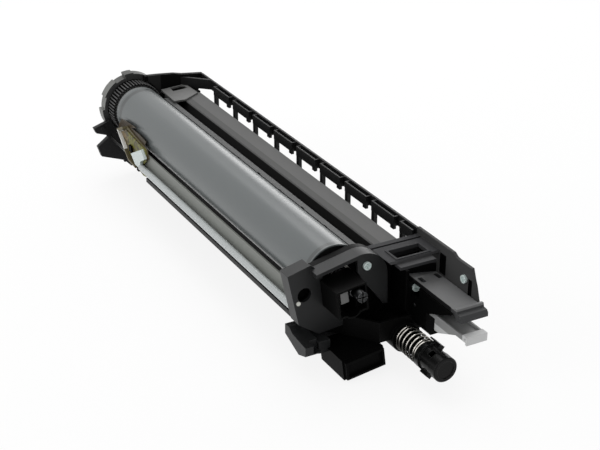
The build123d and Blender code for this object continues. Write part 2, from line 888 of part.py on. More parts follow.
stay_inner = stay_outer + stay_sheet
with BuildPart() as side_stay:
    block((stay_outer, stay_inner), (bulkhead_rear, rear_wall_front), (stay_bottom, stay_top))
    block((stay_outer, stay_inner + stay_lip), (drum_front + 2, drive_front - 3),
          (stay_bottom, stay_bottom + stay_sheet))
    block((stay_outer - 1, stay_inner + 1), (lamp_rear, rear_wall_front + 1),
          (stay_bottom + 2 * stay_sheet, stay_top + 1), Mode.SUBTRACT)
side_stay.part.label = "side_stay"
export_step(side_stay.part, "parts/side_stay.step")

rail_span = (bracket_rear, lamp_start - rail_end_gap)
with BuildPart() as side_rail:
    block((rail_outer, rail_outer + rail_width), rail_span, (rail_bottom, rail_bottom + rail_height))
    block((stay_outer, stay_outer + rail_web), rail_span, (rail_bottom, stay_bottom))
side_rail.part.label = "side_rail"
export_step(side_rail.part, "parts/side_rail.step")

rod_front = bulkhead_rear - rod_seat
with BuildPart() as light_guide:
    cylinder(guide_rod_x, guide_rod_z, guide_rod_radius, (rod_front, lamp_start + rod_overlap))
light_guide.part.label = "light_guide"
export_step(light_guide.part, "parts/light_guide.step")

tray_outline = [
    (lamp_rear + 0.5, -3.6),
    (lamp_start + 28.5, 1.0),
    (lamp_start - 2.5, -3.2),
    (lamp_start - 5.4, -8.1),
    (lamp_start + rod_overlap, -14.0),
    (lamp_start + 10.5, -19.6),
    (lamp_start + 22.0, -18.8),
]
tray_rim = [
    (lamp_rear + 0.5, -3.6),
    (lamp_start + 28.5, 1.0),
    (lamp_start + 27.7, -0.5),
    (lamp_start + 36.6, -4.8),
    (lamp_start + 21.2, -17.6),
    (lamp_start + 10.8, -18.4),
    (lamp_start + 10.5, -19.6),
    (lamp_start + 22.0, -18.8),
]
with BuildPart() as lamp_holder:
    side_prism(tray_outline, (lamp_face, stay_outer))
    side_prism(tray_rim, (lamp_left, lamp_face))
lamp_holder.part.label = "lamp_holder"
export_step(lamp_holder.part, "parts/lamp_holder.step")

board_outline = [
    (lamp_start + 35.8, -5.2),
    (lamp_start + 27.4, -1.2),
    (lamp_start - 2.3, -3.5),
    (lamp_start - 5.2, -8.1),
    (lamp_start + 0.2, -13.4),
    (lamp_start + 2.3, -13.4),
    (lamp_start + 2.3, -18.7),
    (lamp_start - 4.5, -18.7),
    (lamp_start - 2.0, -21.0),
    (lamp_start + 2.8, -21.8),
    (lamp_start + 10.2, -20.2),
    (lamp_start + 10.2, -17.6),
    (lamp_start + 20.8, -16.9),
]
with BuildPart() as lamp_board:
    side_prism(board_outline, (board_face, lamp_face))
lamp_board.part.label = "lamp_board"
export_step(lamp_board.part, "parts/lamp_board.step")

with BuildPart() as lamp_diode:
    block((board_face - diode_height, board_face), (lamp_start + 17.4, lamp_start + 21.4),
          (-12.4, -8.4))
lamp_diode.part.label = "lamp_diode"
export_step(lamp_diode.part, "parts/lamp_diode.step")

lens_outline = [
    (lamp_start + 16.6, -12.2),
    (lamp_start - 0.2, -3.6),
    (lamp_start - 5.0, -8.1),
    (lamp_start + rod_overlap, -12.2),
    (lamp_start + rod_overlap, -17.2),
    (lamp_start + 10.3, -17.2),
]
with BuildPart() as lamp_lens:
    side_prism(lens_outline, (lamp_left, board_face))
lamp_lens.part.label = "lamp_lens"
export_step(lamp_lens.part, "parts/lamp_lens.step")

contact_outline = [
    (lamp_start + 5.0, stay_top),
    (lamp_rear + 5.0, stay_top),
    (lamp_rear + 5.0, -3.0),
    (lamp_rear - 0.5, 2.3),
    (lamp_start + 27.0, 3.5),
    (lamp_start + 14.5, 4.4),
    (lamp_start + 22.4, 1.6),
    (lamp_start + 10.0, 1.9),
    (lamp_start - 0.5, 0.8),
    (lamp_start + 1.5, -2.0),
]
with BuildPart() as lamp_contact:
    side_prism(contact_outline, (stay_outer, stay_outer + contact_sheet))
lamp_contact.part.label = "lamp_contact"
export_step(lamp_contact.part, "parts/lamp_contact.step")

# Front cover: left plate with its flanges, and the hood over the shaft end

plate_outline = [
    (-29.4, 8.7),
    (-17.0, 11.8),
    (-10.9, 7.0),
    (-9.0, -4.6),
    (-7.2, -13.9),
    (0.4, -22.4),
    (6.7, -25.3),
    (-12.4, -27.0),
    (-23.4, -19.1),
]
flange_inside = [
    (-29.4 + shell_wall, 8.7 - shell_wall * 0.85),
    (-17.2, 11.8 - shell_wall * 1.05),
    (-17.2, 20.0),
    (10.0, 20.0),
    (10.0, -40.0),
    (-20.0, -40.0),
    (-23.4 + shell_wall, -19.3),
]
cheek_right = lever_left - rest_gap
cheek_left = cheek_right - ear_width
housing_plan = [
    (0.0, bulkhead_front),
    (housing_left, housing_front),
    (cheek_left, housing_front),
    (cheek_left, bulkhead_front),
]
hood_start = 98.0
hood_slab_top = 9.3
hood_foot = -16.0
with BuildPart() as front_cover:
    prism(plate_outline, (plate_front, drum_front))
    prism(flange_inside, (plate_front + shell_wall, drum_front + 1), Mode.SUBTRACT)
    with BuildSketch(facing_front(bulkhead_front)) as hood_section:
        with BuildLine():
            hood_outside = CenterArc((hood_centre_x, hood_centre_z), hood_radius, 0, hood_start)
            hood_inside = CenterArc((hood_centre_x, hood_centre_z), hood_radius - shell_wall,
                                    0, hood_start)
            Polyline(
                hood_outside @ 1,
                (-17.0, hood_slab_top),
                (-17.0, hood_slab_top - shell_wall),
                hood_inside @ 1,
            )
            Polyline(
                hood_outside @ 0,
                (hood_centre_x + hood_radius + 0.5, hood_foot),
                (hood_centre_x + hood_radius + 0.5 - shell_wall, hood_foot),
                hood_inside @ 0,
            )
        make_face()
    extrude(hood_section.sketch, amount=bulkhead_front - hood_front)
    petal_edge = hood_centre_x + hood_radius - shell_wall + 0.2
    with BuildSketch(facing_front(hood_front + petal_thickness)) as petal_section:
        with BuildLine():
            rim = CenterArc((hood_centre_x, hood_centre_z), hood_radius - shell_wall + 0.2, 0, 105)
            Polyline(
                rim @ 1,
                (5.6, 5.0),
                (10.1, -2.1),
                (16.9, -10.7),
                (petal_edge, hood_foot),
                rim @ 0,
            )
        make_face()
    extrude(petal_section.sketch, amount=petal_thickness)
    hood_screw_at = (hood_centre_x + 1.9, hood_centre_z + 7.5)
    cylinder(*hood_screw_at, screw_radius + boss_wall, (hood_front, bulkhead_front))
    cylinder(*hood_screw_at, screw_radius + seat_gap, (hood_front - 1, bulkhead_front),
             Mode.SUBTRACT)
    cylinder(port_x, port_z, port_radius, (plate_front - 1, bulkhead_front + 1), Mode.SUBTRACT)
    cylinder(peg_x, peg_z, peg_radius + seat_gap, (plate_front - 1, bulkhead_front + 1),
             Mode.SUBTRACT)
    cylinder(guide_rod_x, guide_rod_z, guide_rod_radius + seat_gap,
             (bulkhead_front, drum_front + 1), Mode.SUBTRACT)
    with BuildSketch(facing_front(bulkhead_front, socket_x, socket_z, socket_turn)) as opening:
        Rectangle(socket_width + 2 * seat_gap, socket_height + 2 * seat_gap)
    extrude(opening.sketch, amount=shell_wall, mode=Mode.SUBTRACT)
    cylinder(well_x, well_z, well_radius + well_wall + seat_gap,
             (plate_front - 1, bulkhead_front), Mode.SUBTRACT)
    plan_prism(housing_plan, (housing_bottom, housing_top + seat_gap), Mode.SUBTRACT)
front_cover.part.label = "front_cover"
export_step(front_cover.part, "parts/front_cover.step")

with BuildPart() as sight_peg:
    cylinder(peg_x, peg_z, peg_radius, (plate_front - 0.4, bulkhead_front))
sight_peg.part.label = "sight_peg"
export_step(sight_peg.part, "parts/sight_peg.step")

# Front frame: bulkhead, deck, side wall, front wall, housing and shaft socket

pipe_outer = pipe_bore + pipe_wall
sleeve_bore = pipe_outer + running_gap
sleeve_outer = sleeve_bore + sleeve_wall
sleeve_reach = hypot(sleeve_outer + sleeve_tab, sleeve_tab_width / 2)
deck_bottom = deck_top - deck_sheet
block_top = lever_top - lever_sheet - rest_gap
lever_axis_z = lever_top - lever_sheet / 2
block_right = cheek_right + block_width
wall_outer = wall_inner + wall_sheet
groove_y = bulkhead_rear - 4.6
wall_profile = [
    (bulkhead_rear, wall_top),
    (-8.5, wall_top),
    (-11.0, wall_top - 1.4),
    (-13.0, wall_top - 1.7),
    (-24.0, 13.0),
    (-25.9, 8.1),
    (-27.4, 5.1),
    (-wall_reach, -2.1),
    (-26.0, -6.0),
    (-2.0, housing_bottom),
    (bulkhead_rear, housing_bottom),
]
wall_screw_at = (-19.1, 5.4)
wall_face_screw_at = (handle_left + 1.9, -6.9)
handle_right = handle_left + handle_width
handle_end = front_wall_y - handle_reach
handle_under = handle_top - handle_sheet


def recess_y(x):
    """Station of the slanted wall behind the handle, at some x."""
    share = (x - bay_right) / (wall_inner - bay_right)
    return recess_left_y + (recess_right_y - recess_left_y) * share


with BuildPart() as front_frame:
    with BuildSketch(facing_front(bulkhead_rear)) as bulkhead_section:
        with BuildLine():
            arch = CenterArc((hood_centre_x, hood_centre_z), hood_radius, 49.5, hood_start - 49.5)
            Polyline(
                arch @ 1,
                (-17.0, hood_slab_top),
                (-26.4, 6.8),
                (-21.0, -18.6),
                (-12.4, -26.6),
                (0.0, housing_bottom),
                (wall_inner, housing_bottom),
                (wall_inner, deck_top),
                arch @ 0,
            )
        make_face()
    extrude(bulkhead_section.sketch, amount=bulkhead_thickness)
    block((deck_left, wall_inner), (deck_front, bulkhead_front), (deck_bottom, deck_top))
    block((lip_left, lip_right), (deck_front - lip_reach, deck_front),
          (deck_bottom - lip_drop, deck_top - lip_drop))
    block((lip_left, lip_right), (deck_front, deck_front + 1.6), (deck_bottom - lip_drop, deck_top))
    block((window_left - window_rim, window_left + window_width + window_rim),
          (window_front - window_rim, window_front + window_depth + window_rim),
          (deck_bottom, deck_top + 0.4))
    block((window_left, window_left + window_width), (window_front, window_front + window_depth),
          (deck_bottom - 1, deck_top + 1), Mode.SUBTRACT)
    block((deck_left, wall_inner), (groove_y, groove_y + groove_width),
          (deck_top - groove_depth, deck_top + 1), Mode.SUBTRACT)
    cylinder(hood_centre_x, hood_centre_z, hood_radius + seat_gap,
             (deck_front - 1, bulkhead_front), Mode.SUBTRACT)
    side_prism(wall_profile, (wall_inner, wall_outer))
    block((bay_right, wall_inner), (front_wall_y, front_wall_y + front_wall_sheet),
          (housing_bottom, handle_under))
    plan_prism(
        [
            (bay_right, recess_left_y),
            (wall_inner, recess_right_y),
            (wall_inner, recess_right_y + front_wall_sheet),
            (bay_right, recess_left_y + front_wall_sheet),
        ],
        (handle_under - 1, recess_top),
    )
    block((bay_right, bay_right + front_wall_sheet), (front_wall_y, bulkhead_front),
          (housing_bottom, bay_top))
    plan_prism(housing_plan, (housing_bottom, housing_top))
    plan_prism(
        [
            (1.5, bulkhead_front),
            (housing_left + 0.8, housing_front + front_wall_sheet),
            (cheek_left - front_wall_sheet, housing_front + front_wall_sheet),
            (cheek_left - front_wall_sheet, bulkhead_front),
        ],
        (housing_bottom + front_wall_sheet, housing_top + 1),
        Mode.SUBTRACT,
    )
    cylinder(auger_x, auger_z, pipe_outer + tube_collar, (spring_seat_y, bulkhead_rear))
    with BuildSketch(facing_front(bulkhead_front, socket_x, socket_z, socket_turn)) as socket:
        Rectangle(socket_width, socket_height)
    extrude(socket.sketch, amount=bulkhead_front - socket_front)
    cylinder(well_x, well_z, well_radius + well_wall, (socket_front, bulkhead_front))
    with BuildSketch(
        facing_front(socket_front + socket_depth, socket_x, socket_z, socket_turn)
    ) as socket_recess:
        Rectangle(socket_width - 2 * socket_wall, socket_height - 2 * socket_wall)
    extrude(socket_recess.sketch, amount=socket_depth + 1, mode=Mode.SUBTRACT)
    cylinder(well_x, well_z, well_radius, (socket_front - 1, socket_front + well_depth),
             Mode.SUBTRACT)
    cylinder(0, 0, shaft_radius + rest_gap, (socket_front, bulkhead_front + 1), Mode.SUBTRACT)
    cylinder(0, 0, front_bush_outer + glue_gap, (bulkhead_front - 0.5, bulkhead_rear + 1),
             Mode.SUBTRACT)
    with BuildSketch(facing_front(bulkhead_front + 2, 1.5, 8.2, 12)) as hood_slot:
        Rectangle(12, 2.2)
    extrude(hood_slot.sketch, amount=2, mode=Mode.SUBTRACT)
    cylinder(port_x, port_z, port_radius, (bulkhead_front - 1, plate_front + port_depth),
             Mode.SUBTRACT)
    cylinder(guide_rod_x, guide_rod_z, guide_rod_radius + seat_gap,
             (rod_front - seat_gap, bulkhead_rear + 1), Mode.SUBTRACT)
    cylinder(auger_x, auger_z, pipe_outer + glue_gap, (spring_seat_y - 1, bulkhead_rear + 1),
             Mode.SUBTRACT)
    block((wall_inner - 1, wall_inner + wall_slot_depth), (-3.0, 2.3), (-1.0, 10.0), Mode.SUBTRACT)
    block((wall_inner - 1, wall_inner + wall_slot_depth), (-25.0, -21.9), (-2.5, 6.8),
          Mode.SUBTRACT)
    with BuildSketch(Plane.YZ.offset(wall_inner - 1)) as wall_holes:
        with Locations((lever_pivot_y, lever_axis_z)):
            Circle(lever_pin_radius + glue_gap)
    extrude(wall_holes.sketch, amount=1 + wall_slot_depth, mode=Mode.SUBTRACT)
    with BuildSketch(Plane.YZ.offset(wall_inner)) as wall_boss:
        with Locations(wall_screw_at):
            Circle(screw_radius + boss_wall)
    extrude(wall_boss.sketch, amount=wall_screw_length + wall_boss_end)
    with BuildSketch(Plane.YZ.offset(wall_inner)) as wall_screw_hole:
        with Locations(wall_screw_at):
            Circle(screw_radius + seat_gap)
    extrude(wall_screw_hole.sketch, amount=wall_screw_length + seat_gap, mode=Mode.SUBTRACT)
    cylinder(*wall_face_screw_at, screw_radius + boss_wall,
             (front_wall_y, front_wall_y + screw_length + boss_wall))
    cylinder(*wall_face_screw_at, screw_radius + seat_gap,
             (front_wall_y - 1, front_wall_y + screw_length + seat_gap), Mode.SUBTRACT)
front_frame.part.label = "front_frame"
export_step(front_frame.part, "parts/front_frame.step")

# Lever bracket: block under the lever, with a cheek that also props the handle

block_front = front_wall_y - block_reach
block_bottom = block_top - block_height
cheek_outline = [
    (-3.0, handle_under),
    (handle_end + 0.5, handle_under),
    (handle_end + 1.5, handle_under - 1.0),
    (-24.0, -8.0),
    (-13.0, -12.8),
    (block_front, lever_top),
    (block_front, block_bottom),
    (front_wall_y, block_bottom),
    (front_wall_y, -10.0),
    (-3.0, -10.0),
]
with BuildPart() as lever_bracket:
    block((cheek_right, block_right), (block_front, front_wall_y), (block_bottom, block_top))
    block((cheek_right + block_wall, block_right - block_wall),
          (block_front + block_wall, front_wall_y - block_wall),
          (block_bottom - 1, block_top - 2 * block_wall), Mode.SUBTRACT)
    block((cheek_right, block_right + 1),
          (lever_pivot_y - lever_hub_radius - rest_gap, front_wall_y + 1),
          (lever_axis_z - lever_hub_radius - rest_gap, block_top + 1), Mode.SUBTRACT)
    side_prism(cheek_outline, (cheek_left, cheek_right))
    cylinder(auger_x, auger_z, max(sleeve_reach, pipe_outer + tube_collar) + rest_gap,
             (block_front - 1, front_wall_y + 1), Mode.SUBTRACT)
    with BuildSketch(Plane.YZ.offset(cheek_left - 1)) as cheek_hole:
        with Locations((lever_pivot_y, lever_axis_z)):
            Circle(lever_pin_radius + glue_gap)
    extrude(cheek_hole.sketch, amount=ear_width + 1.5, mode=Mode.SUBTRACT)
lever_bracket.part.label = "lever_bracket"
export_step(lever_bracket.part, "parts/lever_bracket.step")

pad_plane = facing_front(
    socket_front + socket_depth, socket_x - 3.8, socket_z + 2.2, socket_turn
)
with BuildPart() as contact_pad:
    with BuildSketch(pad_plane):
        Rectangle(pad_width, pad_height)
    extrude(amount=pad_sheet)
contact_pad.part.label = "contact_pad"
export_step(contact_pad.part, "parts/contact_pad.step")

# Connector box and rail bracket

box_plane = facing_front(box_front + box_length, box_x, box_z, socket_turn)
with BuildPart() as connector_box:
    with BuildSketch(box_plane) as box_section:
        Rectangle(box_width, box_height)
    extrude(box_section.sketch, amount=box_length - mouth_length)
    with BuildSketch(box_plane) as mouth_section:
        Rectangle(box_width - 2 * mouth_step, box_height - 2 * mouth_step)
    extrude(mouth_section.sketch, amount=box_length)
    with BuildSketch(facing_front(box_front + box_recess, box_x, box_z, socket_turn)):
        Rectangle(box_width - 2 * (mouth_step + box_rim), box_height - 2 * (mouth_step + box_rim))
    extrude(amount=box_recess + 1, mode=Mode.SUBTRACT)
    block((-20, 20), (bulkhead_rear - 1, bulkhead_rear + 10), (-60, -20), Mode.SUBTRACT)
    block((box_x, 20), (box_front - 1, bulkhead_rear + 1), (housing_bottom, -20), Mode.SUBTRACT)
connector_box.part.label = "connector_box"
export_step(connector_box.part, "parts/connector_box.step")

with BuildPart() as rail_bracket:
    side_prism(
        [
            (bracket_front, bracket_top - 1.2),
            (bracket_front, -32.6),
            (bracket_front + 7, bracket_bottom),
            (bracket_rear, -30.0),
            (bracket_rear, rail_bottom),
            (bracket_rear - 4, rail_bottom),
            (bracket_rear - 8, bracket_top),
        ],
        (bracket_left, bracket_right),
    )
    block((bracket_left + 4.5, bracket_right + 1), (bracket_front - 1, bracket_front + 5),
          (-32.0, -20), Mode.SUBTRACT)
    block((bracket_right, bracket_arm_right), (bracket_front + 3, bracket_front + 13),
          (bracket_bottom, bracket_arm_top))
    block((bracket_right - 1, web_right),
          (drum_front + rest_gap, drum_front + rest_gap + web_sheet), (web_bottom, web_top))
    with BuildSketch(box_plane) as box_room:
        Rectangle(box_width + 2 * seat_gap, box_height + 2 * seat_gap)
    extrude(box_room.sketch, amount=box_length, mode=Mode.SUBTRACT)
rail_bracket.part.label = "rail_bracket"
export_step(rail_bracket.part, "parts/rail_bracket.step")

# Waste outlet: pipe, sprung shutter sleeve and its spring

with BuildPart() as waste_pipe:
    ring(auger_x, auger_z, pipe_outer, pipe_bore, (pipe_front, bulkhead_rear))
waste_pipe.part.label = "waste_pipe"
export_step(waste_pipe.part, "parts/waste_pipe.step")

finger_inner = spring_radius + spring_wire / 2 + rest_gap


def radial_plane(angle, station):
    """Plane on the outlet's axis that looks outwards at some angle; its X runs along Y."""
    outwards = (cos(radians(angle)), 0, sin(radians(angle)))
    return Plane(origin=(auger_x, station, auger_z), x_dir=(0, 1, 0), z_dir=outwards)


with BuildPart() as shutter_sleeve:
    cylinder(auger_x, auger_z, sleeve_outer, (sleeve_front, sleeve_front + sleeve_head))
    chamfer(edges().filter_by(GeomType.CIRCLE).sort_by(Axis.Y)[0], sleeve_chamfer)
    cylinder(auger_x, auger_z, sleeve_outer - sleeve_waist,
             (sleeve_front + sleeve_head, sleeve_rear))
    cylinder(auger_x, auger_z, sleeve_outer + sleeve_collar,
             (sleeve_rear - collar_length, sleeve_rear))
    for angle, station in ((top_tab_angle, sleeve_rear - tab_length / 2),
                           (side_tab_angle, sleeve_front + tab_setback)):
        with BuildSketch(radial_plane(angle, station).offset(sleeve_outer - tab_root)) as tab:
            Rectangle(tab_length, sleeve_tab_width)
        extrude(tab.sketch, amount=tab_root + sleeve_tab)
    with BuildSketch(radial_plane(top_tab_angle, sleeve_rear).offset(finger_inner)) as finger:
        Rectangle(2 * finger_length, sleeve_tab_width)
    extrude(finger.sketch, amount=sleeve_outer + sleeve_tab - finger_inner)
    cylinder(auger_x, auger_z, sleeve_bore, (sleeve_front + sleeve_end_wall, sleeve_rear + 1),
             Mode.SUBTRACT)
    with BuildSketch(radial_plane(114, sleeve_rear - 8.3).offset(auger_core)) as side_window:
        Rectangle(sleeve_window, sleeve_window)
    extrude(side_window.sketch, amount=sleeve_outer, mode=Mode.SUBTRACT)
    cylinder(auger_x, auger_z, sleeve_outer - 1.9, (sleeve_front - 1, sleeve_front + 0.5),
             Mode.SUBTRACT)
shutter_sleeve.part.label = "shutter_sleeve"
export_step(shutter_sleeve.part, "parts/shutter_sleeve.step")

coil_length = spring_length - rest_gap - spring_wire
with BuildPart() as outlet_spring:
    with BuildLine():
        coil = Helix(coil_length / spring_turns, coil_length, spring_radius,
                     center=(auger_x, spring_seat_y - rest_gap - spring_wire / 2, auger_z),
                     direction=(0, -1, 0))
    with BuildSketch(Plane(origin=coil @ 0, z_dir=coil % 0)):
        RegularPolygon(spring_wire / 2, 6)
    sweep(path=coil, is_frenet=True)
outlet_spring.part.label = "outlet_spring"
export_step(outlet_spring.part, "parts/outlet_spring.step")

# Handle plate, release lever and their fasteners

with BuildPart() as handle_plate:
    side_prism(
        [
            (handle_end, handle_under),
            (handle_end, handle_top + 0.9),
            (handle_end - 1.5, handle_top + 0.9),
            (handle_end - 2.0, handle_top - 1.0),
            (handle_end - 4.5, handle_top - 1.3),
            (handle_end - 5.5, handle_top - 2.5),
            (handle_end - 5.5, handle_top - 4.5),
            (handle_end - 2.5, handle_top - 5.0),
        ],
        (handle_left, handle_right + hook_overhang),
    )
    plan_prism(
        [
            (handle_left, handle_end - 0.2),
            (handle_right, handle_end - 0.2),
            (handle_right, recess_y(handle_right)),
            (handle_left, recess_y(handle_left)),
        ],
        (handle_under, handle_top),
    )
    hole_y = front_wall_y - handle_hole_setback
    for hole_x in (handle_left + 2.9, handle_right - 1.7):
        block((hole_x - handle_hole_width / 2, hole_x + handle_hole_width / 2),
              (hole_y - handle_hole_length / 2, hole_y + handle_hole_length / 2),
              (handle_under - 1, handle_top + 1), Mode.SUBTRACT)
handle_plate.part.label = "handle_plate"
export_step(handle_plate.part, "parts/handle_plate.step")

lever_right = lever_left + lever_width
lever_under = lever_top - lever_sheet
with BuildPart() as release_lever:
    block((lever_left, lever_right), (-lever_reach, lever_pivot_y), (lever_under, lever_top))
    for rim_x in (lever_left, lever_right - 1.0):
        block((rim_x, rim_x + 1.0), (-lever_reach + 2, lever_pivot_y - 1),
              (lever_under, lever_under + lever_rim))
    block((lever_left, lever_right), (-lever_reach, -lever_reach + 1.2),
          (lever_under - 1.2, lever_under + lever_lip))
    block((lever_left, lever_right), (-lever_reach, -lever_reach + 4.0),
          (lever_under + lever_lip - 1.0, lever_under + lever_lip))
    side_prism(
        [
            (block_front - 4.0, lever_under),
            (-32.5, lever_under),
            (-17.5, lever_under - lever_fin),
            (block_front - 4.0, lever_under - lever_fin),
        ],
        (lever_left + 0.4, lever_left + 1.6),
    )
    with BuildSketch(Plane.YZ.offset(lever_left)) as lever_hub:
        with Locations((lever_pivot_y, lever_axis_z)):
            Circle(lever_hub_radius)
    extrude(lever_hub.sketch, amount=lever_width)
    with BuildSketch(Plane.YZ.offset(lever_left - 1)) as lever_bore:
        with Locations((lever_pivot_y, lever_axis_z)):
            Circle(lever_pin_radius + running_gap)
    extrude(lever_bore.sketch, amount=lever_width + 2, mode=Mode.SUBTRACT)
release_lever.part.label = "release_lever"
export_step(release_lever.part, "parts/release_lever.step")

with BuildPart() as lever_pin:
    with BuildSketch(Plane.YZ.offset(cheek_left)):
        with Locations((lever_pivot_y, lever_axis_z)):
            Circle(lever_pin_radius)
    extrude(amount=wall_inner + wall_slot_depth - cheek_left)
lever_pin.part.label = "lever_pin"
export_step(lever_pin.part, "parts/lever_pin.step")


def screw(plane, length):
    """Pan head screw with a crossed slot; it stands on the plane and its head points out."""
    with BuildSketch(plane) as head:
        Circle(screw_head)
    extrude(head.sketch, amount=screw_head_height)
    with BuildSketch(plane) as shank:
        Circle(screw_radius)
    extrude(shank.sketch, amount=-length)
    with BuildSketch(plane.offset(screw_head_height)) as cross:
        Rectangle(screw_head * 1.3, screw_slot)
        Rectangle(screw_slot, screw_head * 1.3)
    extrude(cross.sketch, amount=-screw_head_height / 2, mode=Mode.SUBTRACT)


with BuildPart() as frame_screws:
    screw(facing_front(hood_front, *hood_screw_at), screw_length)
    screw(Plane(origin=(wall_inner, *wall_screw_at), z_dir=(-1, 0, 0)), wall_screw_length)
    screw(facing_front(front_wall_y, *wall_face_screw_at), screw_length)
frame_screws.part.label = "frame_screws"
export_step(frame_screws.part, "parts/frame_screws.step")
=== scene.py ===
"""Looks of a printer drum unit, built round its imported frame.

X runs to the right seen from the front, Y runs along the drum to its gear end, and Z is
up. The origin lies on the drum axis at the front journal. Metres throughout.
"""

import logging
import math
from dataclasses import dataclass, replace
from enum import Enum
from typing import Any, Union

import bmesh
import bpy
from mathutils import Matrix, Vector

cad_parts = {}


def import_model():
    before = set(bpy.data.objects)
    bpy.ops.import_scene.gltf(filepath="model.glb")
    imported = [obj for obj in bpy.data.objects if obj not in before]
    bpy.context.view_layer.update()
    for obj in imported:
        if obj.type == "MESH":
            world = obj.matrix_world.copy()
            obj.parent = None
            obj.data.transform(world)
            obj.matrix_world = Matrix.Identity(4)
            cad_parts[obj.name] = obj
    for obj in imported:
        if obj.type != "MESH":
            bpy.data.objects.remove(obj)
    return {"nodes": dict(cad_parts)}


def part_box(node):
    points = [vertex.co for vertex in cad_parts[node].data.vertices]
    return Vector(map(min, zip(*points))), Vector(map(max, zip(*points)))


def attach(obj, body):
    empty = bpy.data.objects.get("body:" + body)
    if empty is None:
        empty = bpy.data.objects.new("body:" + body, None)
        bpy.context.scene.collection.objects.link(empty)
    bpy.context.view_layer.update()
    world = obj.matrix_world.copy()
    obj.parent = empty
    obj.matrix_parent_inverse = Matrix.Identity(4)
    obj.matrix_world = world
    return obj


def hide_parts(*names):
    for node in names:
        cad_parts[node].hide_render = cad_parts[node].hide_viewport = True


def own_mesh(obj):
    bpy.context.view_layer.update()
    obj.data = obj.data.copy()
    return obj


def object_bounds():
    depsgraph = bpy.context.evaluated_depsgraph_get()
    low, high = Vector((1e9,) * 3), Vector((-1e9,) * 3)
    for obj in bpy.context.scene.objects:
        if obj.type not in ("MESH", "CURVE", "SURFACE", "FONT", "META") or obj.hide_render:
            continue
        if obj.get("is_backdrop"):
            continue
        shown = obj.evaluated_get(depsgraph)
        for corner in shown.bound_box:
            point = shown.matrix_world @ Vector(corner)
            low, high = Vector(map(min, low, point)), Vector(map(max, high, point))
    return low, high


LOG = logging.getLogger("drum_unit")

Triple = tuple[float, float, float]
Colour = Triple
Place = Triple
Span = tuple[float, float]
Operand = Union["Signal", float, Colour]

MM = 0.001
FAR = 1.0
ANYWHERE: Span = (-FAR, FAR)
WHITE: Colour = (1.0, 1.0, 1.0)
NOISE_MIDDLE = 0.5
BEVEL_SAMPLES = 6
EDGE_TURN: Span = (0.02, 0.25)

# The mix node has several sockets of each name, so its colour sockets go by number.
MIX_FIRST = 6
MIX_SECOND = 7
MIX_RESULT = 2


def span(low: float, high: float) -> Span:
    """Gives a span in metres from its ends in millimetres."""
    return low * MM, high * MM


def beyond(start: float) -> Span:
    """Gives the span from a station on."""
    return start, FAR


def up_to(end: float) -> Span:
    """Gives the span up to a station."""
    return -FAR, end


class Axis(Enum):
    """Axes of the frame."""

    X = "X"
    Y = "Y"
    Z = "Z"


class Ray(Enum):
    """Rays that show the background, under the names of the light path's outputs."""

    CAMERA = "Is Camera Ray"
    GLOSSY = "Is Glossy Ray"
    TRANSMITTED = "Is Transmission Ray"


class Arithmetic(Enum):
    """Operations that a signal knows, under the names that the nodes use."""

    ADD = "ADD"
    SUBTRACT = "SUBTRACT"
    MULTIPLY = "MULTIPLY"
    MAXIMUM = "MAXIMUM"


